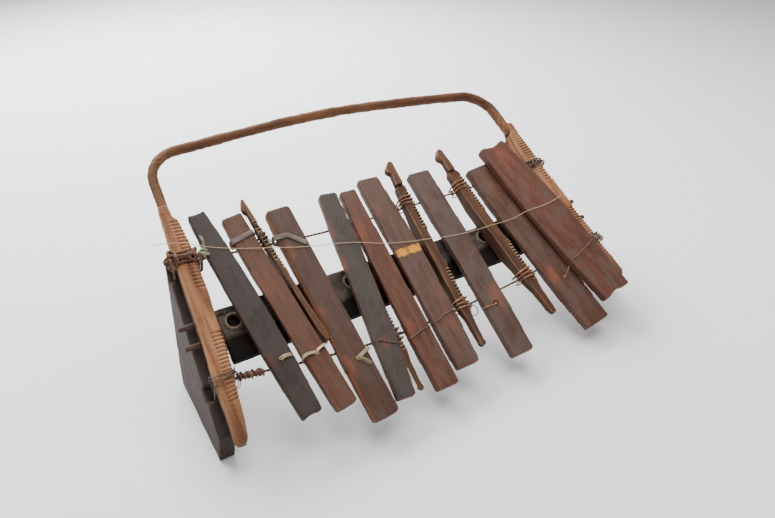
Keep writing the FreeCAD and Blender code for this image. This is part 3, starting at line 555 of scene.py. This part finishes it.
def key_shape(number, place):
    """A slightly crowned top, and a broad bevel along the left edge of some keys."""
    points = plane_points("key_%d" % number, place)
    half = (points[:, 0].max() - points[:, 0].min()) / 2

    def shape(vertices):
        made = vertices.copy()
        upper = smooth_step(-9 * MM, -1 * MM, vertices[:, 2])
        crown = (vertices[:, 0] / half) ** 2 * 0.9 * MM
        made[:, 2] -= upper * crown
        if number in BEVELLED_KEYS:
            left = -half + BEVEL_WIDTH
            made[:, 2] -= upper * np.clip((left - vertices[:, 0]) / BEVEL_WIDTH, 0, 1) * BEVEL_DROP
        return made

    return shape


def rubbed_share(number, place):
    to_plane = np.array(STAND.inverted() @ place)

    def share(vertices):
        points = vertices @ to_plane[:3, :3].T + to_plane[:3, 3]
        total = np.zeros(len(points))
        for x, y, reach, amount in RUBBED[number]:
            apart = np.hypot((points[:, 0] - x * MM), (points[:, 1] - y * MM) * 0.55)
            total = np.maximum(total, amount * (1 - smooth_step(0.25 * reach * MM, reach * MM, apart)))
        if number in BEVELLED_KEYS:
            left = vertices[:, 0].min() + 0.8 * BEVEL_WIDTH
            total = np.maximum(total, 0.6 * (vertices[:, 0] < left) * (vertices[:, 2] > -7 * MM))
        return total

    return share


key_frames = {}
for number in KEYS:
    node = "key_%d" % number
    body, deep, film_and_sheen, worn, film_and_sheen_cover, wear = KEY_LOOKS[number]
    look = wood(node + "_wood", body, deep, film_and_sheen, worn, seed=number * 2.3, film_and_sheen_cover=film_and_sheen_cover, wear=wear,
                gloss=0.62, crack=0.5, patch=STAIN if number == STAINED_KEY else None)
    key_frames[number] = lying_frame(node)
    carve(node + "_bar", node, look, key_frames[number], node,
          KEY_VOXEL, soften=1, uneven=0.3, chips=0.06,
          shape=key_shape(number, key_frames[number]), rub=rubbed_share(number, key_frames[number]),
          seed=number)

# ---------------------------------------------------------------- hoop and rails

RAIL_FAR_END = 250 * MM
HOOP_VOXEL = 1.4 * MM


def along_hoop(points):
    """Grain coordinates that turn with the bent stick: across, along and up."""
    left, right, far = -398 * MM, 391 * MM, 395 * MM
    turn = 66 * MM
    bar = (points[:, 1] > far - turn) & (points[:, 0] > left + turn) & (points[:, 0] < right - turn)
    share = smooth_step(far - 2.2 * turn, far - 0.4 * turn, points[:, 1]) * (1 - bar) + bar
    across = points[:, 0] * (1 - share) + points[:, 1] * share
    along = points[:, 1] * (1 - share) + (points[:, 0] * np.where(points[:, 0] < 0, 1, -1)) * share
    return np.stack([across, along, points[:, 2]], axis=1)


def right_edge(points, chosen):
    """The largest X among the chosen vertices, at each vertex's Y."""
    rows = np.round(points[:, 1] / (4 * MM)).astype(int)
    rows -= rows.min()
    furthest = np.full(rows.max() + 1, -1.0)
    np.maximum.at(furthest, rows[chosen], points[chosen, 0])
    return furthest[rows]


def notches(points, edge, reach, rows):
    """Two shares a vertex: how deep it is in a carved notch, and how far onto the notched band."""
    groove, band = np.zeros(len(points)), np.zeros(len(points))
    for first, count, pitch in rows:
        place = (first - points[:, 1] / MM) / pitch
        within = (place > -0.6) & (place < count - 0.4)
        groove += within * smooth_step(0.34, 0.14, np.abs(place - np.round(place)))
        band += within
    beside = smooth_step(reach, 0.7 * reach, edge - points[:, 0])
    return groove * beside, band * beside


# the Y of a row's first notch, how many it has and their pitch, all in millimetres
RAIL_NOTCHES = ((232, 20, 7.0), (13, 18, 6.65))
# how far in from its right-hand edge each rail is notched, the left rail first
NOTCH_REACH = {-1: 20 * MM, 1: 29 * MM}
# how pale each rail's ridges between the notches are painted, as highlight and wear
RIDGE_HIGHLIGHT = {-1: 0.35, 1: 0.65}


def rail_notches(points):
    total = [np.zeros(len(points)), np.zeros(len(points))]
    for side in (-1, 1):
        rail = (points[:, 1] < RAIL_FAR_END) & (points[:, 0] * side > 0)
        edge = right_edge(points, rail)
        for index, share in enumerate(notches(points, edge, NOTCH_REACH[side], RAIL_NOTCHES)):
            total[index] += share * rail
    return total


NOTCH_SINK, NOTCH_BITE = 1.5 * MM, 1.0 * MM
RAIL_MIDDLE, RAIL_HALF_WIDTH = 401 * MM, 17 * MM
RAIL_ROUNDING, TIP_DROP = 3.2 * MM, 7.0 * MM
RAIL_SWAY, STICK_BOW = 1.2 * MM, 2.0 * MM


def hoop_shape(points):
    """Rounds and notches the rails, and lets rails and stick wander as hand-cut wood does."""
    made = points.copy()
    groove, _ = rail_notches(points)
    rail = points[:, 1] < RAIL_FAR_END
    upper = smooth_step(-22 * MM, -8 * MM, points[:, 2])
    made[:, 2] -= NOTCH_SINK * groove * upper
    made[:, 0] -= NOTCH_BITE * groove
    middle = np.where(points[:, 0] < 0, -RAIL_MIDDLE, RAIL_MIDDLE)
    round_off = np.clip(((points[:, 0] - middle) / RAIL_HALF_WIDTH) ** 2, 0, 1.3)
    made[:, 2] -= RAIL_ROUNDING * round_off * upper * rail
    made[:, 2] -= TIP_DROP * smooth_step(-196 * MM, -240 * MM, points[:, 1]) * upper
    sway = lattice_noise(points * (0, 9, 0) + (points[:, :1] > 0) * 5.5, 31)
    made[:, 2] += RAIL_SWAY * sway * rail
    bow = lattice_noise(points * (11, 11, 0), 32)
    made[:, 2] += STICK_BOW * bow * smooth_step(RAIL_FAR_END, RAIL_FAR_END + 60 * MM, points[:, 1])
    return made


def hoop_smoke_and_shade(points):
    """Smoke-dark along the stick and stained; painted shade under the rails and in the notches; darker at
    the rails' near ends.
    """
    stick = smooth_step(RAIL_FAR_END - 40 * MM, RAIL_FAR_END + 60 * MM, points[:, 1])
    patches = 0.5 + 0.5 * lattice_noise(points * (24, 24, 24), 41)
    stains = smooth_step(0.1, 0.75, lattice_noise(points * (38, 16, 38), 42))
    # painted shade down the rails' undersides
    under_shade = smooth_step(-12 * MM, -30 * MM, points[:, 2]) * 0.6
    near = smooth_step(-50 * MM, -170 * MM, points[:, 1]) * 0.65
    groove, _ = rail_notches(points)
    rail = points[:, 1] < RAIL_FAR_END
    # the groove term is painted shade in the notches
    share = stick * (0.52 + 0.36 * patches) + rail * (under_shade + near + 0.4 * stains) + 0.3 * groove
    return np.clip(share, 0, 1)


def hoop_ridge_highlight(points):
    """Pale ridges between the notches: painted highlight, with rubbed wear."""
    groove, band = rail_notches(points)
    return np.where(points[:, 0] > 0, RIDGE_HIGHLIGHT[1], RIDGE_HIGHLIGHT[-1]) * band * (1 - groove)


rail_wood = wood("rail_wood", "ad7850", "7c4d31", "8f6f5a", "c79c70", seed=4.1, film_and_sheen_cover=0.3, wear=0.6,
                 gloss=0.4, dark="3b241a", crack=0.8)
carve("hoop", "hoop_frame", rail_wood, STAND, "frame", HOOP_VOXEL, soften=7, uneven=1.1,
      chips=0.18, shape=hoop_shape, rub=hoop_ridge_highlight, dark=hoop_smoke_and_shade, grain=along_hoop, seed=21)

# ---------------------------------------------------------------- end boards, plank, pegs

panel_wood = wood("panel_wood", "423630", "322822", "4b413c", "5a4437", seed=8.3, film_and_sheen_cover=0.6, wear=0.5,
                  gloss=0.35, dark="2b211d", crack=0.6)
for side, seed in (("left", 51), ("right", 52)):
    carve(side + "_end_board", side + "_end_panel", panel_wood, STAND, "frame", 2.4 * MM,
          soften=2, uneven=0.5, chips=0.1, seed=seed)

# the plank's near side is burnt and its far side crusted with wax, parted by this line
PLANK_SPLIT = -6 * MM
CRUST_HEIGHT = 1.6 * MM
SCORCH_WAVE, SCORCH_PITCH = 9 * MM, 78 * MM


def turned_grain(points):
    """Grain along X, for boards that lie along the row of keys."""
    return points[:, [1, 0, 2]]


def plank_crust(points):
    """Dried wax and clay built up on the far half of the plank's upper face."""
    made = points.copy()
    top = smooth_step(-36 * MM, -31 * MM, points[:, 2])
    lumps = 0.5 + 0.5 * lattice_noise(points * (110, 110, 110), 61)
    made[:, 2] += CRUST_HEIGHT * top * lumps * smooth_step(PLANK_SPLIT, PLANK_SPLIT + 12 * MM, points[:, 1])
    return made


def plank_scorch(points):
    """Burnt black along the near side, round the foot of each resonator's place."""
    wave = SCORCH_WAVE * np.abs(np.sin(points[:, 0] / SCORCH_PITCH * math.pi + 0.4))
    return 0.96 * smooth_step(PLANK_SPLIT + 10 * MM, PLANK_SPLIT - 2 * MM, points[:, 1] - wave)


plank_wood = wood("plank_wood", "4f463f", "352d28", "665e56", "6f6559", seed=5.7, film_and_sheen_cover=0.6, wear=0.4,
                  gloss=0.05, dark="15100d", shine=0.15)
carve("plank", "resonator_plank", plank_wood, STAND, "frame", 2.0 * MM, soften=1, uneven=0.7,
      chips=0.35, shape=plank_crust, dark=plank_scorch, grain=turned_grain, seed=71)

wax = wood("wax", "716454", "4f453a", "887d6c", "8f8370", seed=6.9, film_and_sheen_cover=0.5, wear=0.5, gloss=0.1,
           dark="2a221b")
carve("collars", "wax_collars", wax, STAND, "frame", 1.1 * MM, soften=2, uneven=1.0, chips=0.35,
      grain=turned_grain, seed=81)
# dark wax for the skins that paint the shade inside the resonator holes
hole_shade_plug = wood("hole_shade_plug", "2a231e", "1d1814", "3a322b", "3a322b", seed=8.3, film_and_sheen_cover=0.5, wear=0.2, gloss=0.2)
RESONATOR_X = (-359, -278, -208, -136, -74, -16, 97, 176, 262, 335)
PLUG_TOP, PLUG_DEPTH, PLUG_RADIUS = -35.0, 3.0, 11.6


def hole_y(x):
    """The holes follow the plank's centre line, as the CAD's do."""
    share = (x + 400.0) / 800.0
    return 32.0 - 9.0 * share


# a skin of dark wax across every hole, a little below the plank's top, that stands in for the shade inside
# the holes
bundle = Bundle()
for x in RESONATOR_X:
    ends = [(x, hole_y(x), PLUG_TOP), (x, hole_y(x), PLUG_TOP - PLUG_DEPTH)]
    bundle.tube(np.array(ends) * MM, PLUG_RADIUS * MM, 28)
bundle.piece("hole_shade_plugs", hole_shade_plug, STAND, "frame", "wax", ["wax_collars"])

peg_wood = wood("peg_wood", "58453b", "3c2f2a", "60554f", "6f5847", seed=7.7, film_and_sheen_cover=0.5, wear=0.6,
                gloss=0.25, dark="2a1f1a")
carve("pegs", "plank_pegs", peg_wood, STAND, "frame", 0.9 * MM, soften=2, uneven=0.5,
      chips=0.2, grain=turned_grain, seed=91)

# ---------------------------------------------------------------- separators

SHORT_SEPARATOR = 1
SEPARATOR_NOTCHES = ((150, 12, 7.0), (-32, 12, 7.0))
# added to the Y in each separator's own frame to find its notch rows
SEPARATOR_MIDDLE = {1: 53.0, 2: 20.0, 3: 20.0, 4: 20.0}
SEPARATOR_REACH, SEPARATOR_SINK = 11 * MM, 1.4 * MM
# how pale the ridges are painted, as highlight and wear, and how dark the painted shade in the notches and
# down the flanks is
SEPARATOR_HIGHLIGHT, NOTCH_SHADE, FLANK_SHADE = 0.9, 0.75, 0.5


def separator_notches(points, number):
    """Notch shares from the vertices in a separator's own frame."""
    rows = SEPARATOR_NOTCHES[:1] if number == SHORT_SEPARATOR else SEPARATOR_NOTCHES
    shifted = points + np.array((0, SEPARATOR_MIDDLE[number] * MM, 0))
    edge = right_edge(shifted, np.ones(len(points), bool))
    return notches(shifted, edge, SEPARATOR_REACH, rows)


def separator_shape(number):
    """Sinks a separator's notches into its top."""
    def shape(points):
        made = points.copy()
        groove, _ = separator_notches(points, number)
        made[:, 2] -= SEPARATOR_SINK * groove * smooth_step(-10 * MM, -4 * MM, points[:, 2])
        return made

    return shape


def separator_ridge_highlight(number):
    """Pale ridges between a separator's notches: painted highlight, with rubbed wear."""
    def rub(points):
        groove, band = separator_notches(points, number)
        return SEPARATOR_HIGHLIGHT * band * (1 - groove)

    return rub


def separator_painted_shade(number):
    """Painted shade in the notches and down the flanks."""
    def dark(points):
        groove, _ = separator_notches(points, number)
        # painted shade down the flanks, below the top
        flank = smooth_step(-2 * MM, -9 * MM, points[:, 2]) * FLANK_SHADE
        return np.clip(NOTCH_SHADE * groove + flank, 0, 1)

    return dark


separator_frames = {}
for number in SEPARATORS:
    node = "separator_%d" % number
    look = wood(node + "_wood", "6f4930", "4b2f20", "665042", "c09a74", seed=number * 3.1, film_and_sheen_cover=0.35,
                wear=0.7, gloss=0.4, dark="1f1511", crack=0.5)
    separator_frames[number] = lying_frame(node)
    carve(node + "_bar", node, look, separator_frames[number], "frame", 1.1 * MM,
          soften=1, uneven=0.4, chips=0.15, shape=separator_shape(number), rub=separator_ridge_highlight(number),
          dark=separator_painted_shade(number), seed=100 + number)

# ---------------------------------------------------------------- thongs

hide = cord_material("hide", "745745", "463127", 1.0, rough=0.66)
tan_hide = cord_material("tan_hide", "a7744c", "68402a", 2.0, rough=0.6)
bark = cord_material("bark", "7c5541", "4b3226", 3.0, rough=0.85)
raffia = cord_material("raffia", "b09e7a", "7e6c4a", 4.0, rough=0.6, fine=0.7)
wire = cord_material("wire", "5e4a3f", "32261f", 5.0, rough=0.55)
cloth = cord_material("cloth", "a6a387", "64664f", 6.0, rough=0.9, bump=0.0009)
string_look = cord_material("string", "d8c9a4", "b39f78", 7.0, rough=0.7, fine=1.6, bump=0.0002)

FAR_THONG = [(-380.2, 159, -26.5), (-262, 150, -26.5), (-116, 138, -26.5), (45, 143, -26.5),
             (184, 142, -26.5), (380.4, 148, -26.5)]
NEAR_THONG = [(-393.6, -64, -19.5), (-344, -70, -26.5), (-262, -84, -26.5), (-117, -100, -26.5),
              (37, -98, -26.5), (190, -90, -26.5), (393.8, -72, -26.5)]
THONG_RADIUS = 2.2 * MM

for name, node, route in (("far_cord", "far_thong", FAR_THONG), ("near_cord", "near_thong", NEAR_THONG)):
    bundle = Bundle()
    bundle.rope(spline_points(route, 1.5 * MM), THONG_RADIUS, plies=2, pitch=11 * MM)
    bundle.piece(name, hide, STAND, "frame", "hide", [node])

WRAP_CORE, WRAP_PITCH, WRAP_REACH = 4.6 * MM, 6.2 * MM, 5.4 * MM
WRAP_HALF, WRAP_WIDTH, WRAP_POINTS = 1.1 * MM, 2.7, 260


def wound_line(line, count):
    """A spiral round a line, its turns a pitch apart and a little uneven."""
    turns = np.linalg.norm(np.diff(line, axis=0), axis=1).sum() / WRAP_PITCH
    angle = np.linspace(0, 2 * math.pi * turns, count)
    wanted, given = np.linspace(0, 1, count), np.linspace(0, 1, len(line))
    core = np.stack([np.interp(wanted, given, line[:, i]) for i in range(3)], axis=1)
    swell = 1 + 0.12 * np.sin(angle * 0.37)
    outward = np.stack([np.zeros_like(angle), np.cos(angle), np.sin(angle)], axis=1)
    return core + outward * swell[:, None] * WRAP_REACH


bundle = Bundle()
wrapped = spline_points([(-388, -64.7, -20.3), (-368, -67.2, -23.4), (-347, -69.6, -26.0)], 1 * MM)
bundle.tube(wrapped, WRAP_CORE, 12)
bundle.tube(wound_line(wrapped, WRAP_POINTS), WRAP_HALF, 10, width=WRAP_WIDTH, up=(0, 1, 0))
bundle.piece("bark_binding", bark, STAND, "frame", "bark", ["bark_wrapping"])

# ---------------------------------------------------------------- lashings


# a lashing that reaches further than this either way has a group of turns at each end instead
LONG_REACH, HALF_GROUP = 40 * MM, 8.2 * MM
TURN_LEAN = 1.2 * MM
CROSSING_LIFT = 0.9


def lashing(name, node, material, slot, radius, place, turns, crossing, knots=(), seed=1):
    """Turns of cord round what the CAD lashing holds, with crossing turns and knots over them."""
    points = plane_points(node, place)
    low, high = points.min(0), points.max(0)
    width, height = (high - low)[0] - 2 * radius, (high - low)[2] - 2 * radius
    centre = np.array([(low[0] + high[0]) / 2, 0, high[2] - radius])
    groups = [(low[1] + high[1]) / 2]
    reach = (high[1] - low[1]) / 2 - radius
    if reach > LONG_REACH:
        groups = [low[1] + radius + HALF_GROUP, high[1] - radius - HALF_GROUP]
        reach = HALF_GROUP
    bundle = Bundle()
    for group, middle in enumerate(groups):
        for index, share in enumerate(np.linspace(-1, 1, turns)):
            line = turn_round(width, height, middle + share * reach, TURN_LEAN * share,
                              seed + 5 * index + group)
            bundle.tube(line + centre, radius * (0.9 + 0.12 * (index % 3)), 8, closed=True)
        for index, slant in enumerate(crossing):
            lift = CROSSING_LIFT * radius * (index + 1)
            line = turn_round(width + 2 * lift, height + 2 * lift, middle, slant * MM,
                              seed + 60 + index)
            line[:, 2] += lift
            bundle.tube(line + centre, radius, 8, closed=True)
    for spot, radii, winds in knots:
        bundle.tube(tangle(spot, radii, winds, seed), radius, 7, closed=True)
    return bundle.piece(name, material, place, "frame", slot, [node])


lashing("left_far_binding", "left_far_lashing", bark, "bark", 2.5 * MM, STAND, 3, (14, -12),
        [((-418, 160, -3), (13, 15, 9), 2), ((-386, 157, -2), (12, 8, 6), 2)],
        seed=11)
lashing("left_near_binding", "left_near_lashing", wire, "wire", 0.75 * MM, STAND, 3, (11, -13, 16),
        [((-391, -62, -16), (6, 6, 8), 3)], seed=12)
lashing("right_far_binding", "right_far_lashing", hide, "hide", 1.6 * MM, STAND, 4, (7, -8),
        [((390, 146, 0), (9, 9, 5), 4)], seed=13)
lashing("right_near_binding", "right_near_lashing", hide, "hide", 1.5 * MM, STAND, 5, (6, -9),
        [((400, -72, 0), (8, 9, 5), 3)], seed=14)

for number in SEPARATORS:
    lashing("separator_%d_binding" % number, "separator_%d_lashing" % number,
            hide if number < 3 else tan_hide, "hide", 1.4 * MM, separator_frames[number], 3,
            (), seed=20 + number)

# ---------------------------------------------------------------- ties on the keys

TIE_RADIUS = 1.25 * MM
# where each tie goes after it comes up through the key's hole: x, y and height over the key's top
TIE_WAYS = {
    4: [(-136, -115, 1.4), (-125, -119, 1.6), (-120, -121, -4), (-119, -121, -13)],
    5: [(-84, -117, 1.4), (-93, -119, 1.5), (-98, -120, -2), (-99, -120, -12)],
    6: [(-2, -102, 1.4), (6, -101, 1.6), (10, -100, -3), (11, -100, -12)],
    7: [(84, -122, 1.2), (73, -121, 1.4), (69, -120, -3), (68, -120, -12)],
    8: [(284, -122, 2.0), (298, -110, 2.4), (306, -105, 1.5), (310, -104, -8)],
    9: [(322, -99, 1.4), (304, -102, 1.5), (299, -103, -3), (298, -103, -14)],
}
SECOND_WAYS = {
    4: [(-156, -103, 1.4), (-161, -101, -2), (-162, -100, -12)],
    5: [(-58, -113, 1.4), (-51, -111, -2), (-50, -111, -12)],
    6: [(-24, -106, 1.3), (-38, -110, 1.4), (-43, -111, -3), (-44, -111, -12)],
    9: [(364, -86, 1.5), (380, -79, 1.5), (384, -78, -4), (384, -78, -14)],
}
STRIP_WAYS = {
    1: ([(-318, -68, -8), (-318, -67.5, 2), (-311, -66.5, 2.2), (-303, -67, 2.0), (-298.5, -69, -1),
         (-297.5, -71, -10)],),
    2: ([(-286.5, -84, -12), (-286.8, -81, -3), (-284, -79, 2.2), (-273, -77, 1.9), (-262, -79.5, 1.6)],
        [(-262, -82, -8), (-261, -79, 1.9), (-256, -76, 2.6), (-248, -73.5, 2.2), (-241, -72, 1.6),
         (-238.5, -71.5, -4)]),
    3: ([(-201, -114, -8), (-199, -114.5, 2.4), (-190, -112, 3.2), (-180, -108, 2.6), (-174.5, -106, 0)],
        [(-201, -116, -8), (-198, -118, 2.4), (-190, -126, 3.2), (-184, -133, 2.2)]),
}
STRIP_HALF, STRIP_WIDTH = 0.55 * MM, 6.4

for number in KEYS:
    node = "key_%d_tie" % number
    rise = plane_points("key_%d" % number)[:, 2].max() / MM
    hole_x, hole_y = (value / MM for value in near_hole(number))
    bundle = Bundle()
    if number in STRIP_WAYS:
        for way in STRIP_WAYS[number]:
            line = spline_points([(x, y, z + rise) for x, y, z in way], 1 * MM)
            bundle.tube(line, STRIP_HALF, 12, width=STRIP_WIDTH, up=(-1, 0, 0.1), square=0.6)
        bundle.tube(tangle((way[0][0], way[0][1], rise + 0.5), (3.4, 3.6, 2.2), 3, number), 0.9 * MM, 6,
                    closed=True)
        bundle.piece(node + "_strip", raffia, STAND, "key_%d" % number, "raffia", [node])
        continue
    for ways in (TIE_WAYS, SECOND_WAYS):
        if number in ways:
            way = [(hole_x, hole_y, -9), (hole_x, hole_y, 0.6)] + ways[number]
            line = spline_points([(x, y, z + rise) for x, y, z in way], 0.8 * MM)
            bundle.rope(line, TIE_RADIUS, plies=2, pitch=5 * MM)
    bundle.tube(tangle((hole_x, hole_y, rise - 0.5), (2.6, 2.6, 1.6), 3, number), 0.9 * MM, 6, closed=True)
    bundle.piece(node + "_cord", tan_hide if number in (7, 8) else hide, STAND, "key_%d" % number,
                 "hide", [node])

# where each strap lies on its key: the left edge, the middle and the right edge
STRAP_WAYS = {2: ((-318, 160), (-297, 163), (-272, 169)), 3: ((-246, 144), (-219, 143), (-189, 117))}
strap_look = cord_material("strap", "725f51", "4e3f36", 8.0, rough=0.6, fine=0.5, bump=0.0004)
STRAP_TOP, STRAP_UNDER, STRAP_CORNER, STRAP_CREST = 1.1, -19.4, 2.4, 0.5


def strap_ring(left, middle, right):
    """The corners of a strap's way round its key, from the left edge over the top and back."""
    (left_x, left_y), (mid_x, mid_y), (right_x, right_y) = left, middle, right
    return [(left_x + STRAP_CORNER, left_y, STRAP_TOP),
            (mid_x, mid_y, STRAP_TOP + STRAP_CREST),
            (right_x - STRAP_CORNER, right_y, STRAP_TOP),
            (right_x, right_y, STRAP_TOP - STRAP_CORNER),
            (right_x, right_y, STRAP_UNDER + STRAP_CORNER),
            (right_x - STRAP_CORNER, right_y, STRAP_UNDER),
            (left_x + STRAP_CORNER, left_y, STRAP_UNDER),
            (left_x, left_y, STRAP_UNDER + STRAP_CORNER),
            (left_x, left_y, STRAP_TOP - STRAP_CORNER)]


for number, (left, middle, right) in STRAP_WAYS.items():
    ring = strap_ring(left, middle, right)
    loop = even(np.array(ring + ring[:1]) * MM, 1.5 * MM)[:-1]
    for _ in range(2):
        loop = (loop + np.roll(loop, 1, axis=0) + np.roll(loop, -1, axis=0)) / 3
    bundle = Bundle()
    bundle.tube(loop, 0.8 * MM, 16, width=6.2, closed=True, square=0.55)
    bundle.piece("key_%d_band" % number, strap_look, STAND, "key_%d" % number, "hide",
                 ["key_%d_strap" % number])

# ---------------------------------------------------------------- rag, ring and string

bundle = Bundle()
RAG = (-366, 158, -8)
bundle.tube(tangle(RAG, (7, 8, 9), 4, 2), 2.6 * MM, 9, closed=True)
for way in ([(-366, 160, -4), (-362, 170, 3), (-361, 180, 6), (-363, 188, 4)],
            [(-366, 156, -6), (-361, 152, 3), (-360, 147, 4)],
            [(-370, 158, -6), (-374, 150, -2), (-376, 142, -6)]):
    line = spline_points(way, 1 * MM)
    width = np.linspace(1.0, 0.55, len(line))
    bundle.tube(line, 0.9 * MM * width, 10, width=4.2, up=(0, 0, 1), square=0.7)
bundle.piece("rag", cloth, STAND, "frame", "cloth", ["cloth_knot"])

RING_X, RING_RADIUS, RING_START = 55, 10.6, 0.9
bundle = Bundle()
turn = np.linspace(0, 2 * math.pi * 1.12, 80)
round_x, round_y = np.cos(turn + RING_START), np.sin(turn + RING_START)
ring_line = np.stack([RING_X + RING_RADIUS * round_x, -112 + RING_RADIUS * round_y, -20 + 0.22 * turn], 1)
bundle.tube(ring_line * MM, 0.9 * MM, 8)
turn = np.linspace(0, 2 * math.pi * 1.1, 60)
link_line = np.stack([RING_X + 0.3 * turn, -99 + 7.5 * np.cos(turn), -23 + 8.5 * np.sin(turn)], 1)
bundle.tube(link_line * MM, 0.8 * MM, 8)
bundle.piece("ring", wire, STAND, "frame", "wire", ["wire_ring"])

STRING_ROUTE = [(403, 46, -0.8), (391, 42, 4.5), (375, 37, 22.0), (345, 31, 22.8), (312, 28, 22.8),
                (270, 29, 22.8), (249, 30, 5.0), (228, 30, 1.8), (188, 30, 7.0), (135, 33, 1.8),
                (92, 37, 1.8), (42, 44, 7.0), (-16, 57, 1.8), (-62, 70, 1.8), (-95, 81, 8.0),
                (-141, 94, 8.0), (-172, 103, 1.8), (-212, 113, 1.8), (-262, 126, 7.0), (-299, 140, 1.8),
                (-337, 154, 1.8), (-371, 168, 5.4), (-391, 182, 6.2), (-416, 191, 1.5), (-440, 198, -5.0)]
STRING_RADIUS = 0.6 * MM
curve = bpy.data.curves.new("museum_string", "CURVE")
curve.dimensions = "3D"
spline = curve.splines.new("NURBS")
spline.points.add(len(STRING_ROUTE) - 1)
for point, place in zip(spline.points, STRING_ROUTE):
    point.co = (*(STAND @ (Vector(place) * MM)), 1.0)
spline.use_endpoint_u = True
spline.order_u = 3
spline.resolution_u = 12
curve.bevel_depth = STRING_RADIUS
curve.bevel_resolution = 3
curve.use_fill_caps = True
curve.materials.append(string_look)
string = bpy.data.objects.new("museum_string", curve)
bpy.context.scene.collection.objects.link(string)
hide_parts("loose_string")
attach(string, "frame")

# ---------------------------------------------------------------- floor, light and camera


def area_light(name, place, aim, size, energy, tint):
    data = bpy.data.lights.new(name, "AREA")
    data.shape = "RECTANGLE"
    data.size, data.size_y = size
    data.energy = energy
    data.color = tint
    lamp = bpy.data.objects.new(name, data)
    lamp.location = place
    lamp.rotation_euler = (Vector(aim) - Vector(place)).to_track_quat("-Z", "Y").to_euler()
    bpy.context.scene.collection.objects.link(lamp)


FLOOR_HALF = 14.0
floor_mesh = bpy.data.meshes.new("floor")
corners = [(-FLOOR_HALF, -FLOOR_HALF, 0), (FLOOR_HALF, -FLOOR_HALF, 0), (FLOOR_HALF, FLOOR_HALF, 0),
           (-FLOOR_HALF, FLOOR_HALF, 0)]
floor_mesh.from_pydata(corners, [], [(0, 1, 2, 3)])
floor = bpy.data.objects.new("floor", floor_mesh)
bpy.context.scene.collection.objects.link(floor)
paper = Shader("paper")
paper.join(paper.surface.inputs["Base Color"], colour("e6e7e9"))
paper.join(paper.surface.inputs["Roughness"], 0.85)
floor_mesh.materials.append(paper.material)

world = bpy.data.worlds.new("studio")
world.use_nodes = True
world.node_tree.nodes["Background"].inputs["Color"].default_value = colour("e8ebf0")
world.node_tree.nodes["Background"].inputs["Strength"].default_value = 0.42
bpy.context.scene.world = world

area_light("back_box", (-0.3, 3.0, 2.6), (0.1, 1.2, 0.0), (3.6, 2.0), 340, (1.0, 1.0, 0.99))
area_light("far_box", (0.6, 5.0, 2.6), (1.0, 4.4, 0.0), (4.0, 2.5), 230, (1.0, 1.0, 1.0))
area_light("top_box", (0.4, 0.2, 2.6), (0, 0.1, 0.1), (2.2, 2.2), 72, (1.0, 0.99, 0.97))
area_light("left_fill", (-2.4, -1.2, 1.5), (0, 0, 0.1), (1.6, 1.6), 6, (1.0, 0.98, 0.96))
area_light("front_fill", (1.0, -2.6, 1.4), (0, 0, 0.1), (2.0, 1.6), 6, (0.98, 0.99, 1.0))

CAMERA_PLACE = (-0.5214, -0.8111, 0.7353)
CAMERA_HEADING, CAMERA_PITCH, CAMERA_ROLL = 31.09, -31.90, -1.11
camera_data = bpy.data.cameras.new("camera")
camera_data.sensor_width = 36.0
camera_data.lens = 26.01
camera_data.clip_start = 0.01
camera = bpy.data.objects.new("camera", camera_data)
camera.matrix_world = (Matrix.Translation(CAMERA_PLACE)
                       @ Matrix.Rotation(-math.radians(CAMERA_HEADING), 4, "Z")
                       @ Matrix.Rotation(math.radians(90 + CAMERA_PITCH), 4, "X")
                       @ Matrix.Rotation(math.radians(CAMERA_ROLL), 4, "Z"))
bpy.context.scene.collection.objects.link(camera)
bpy.context.scene.camera = camera
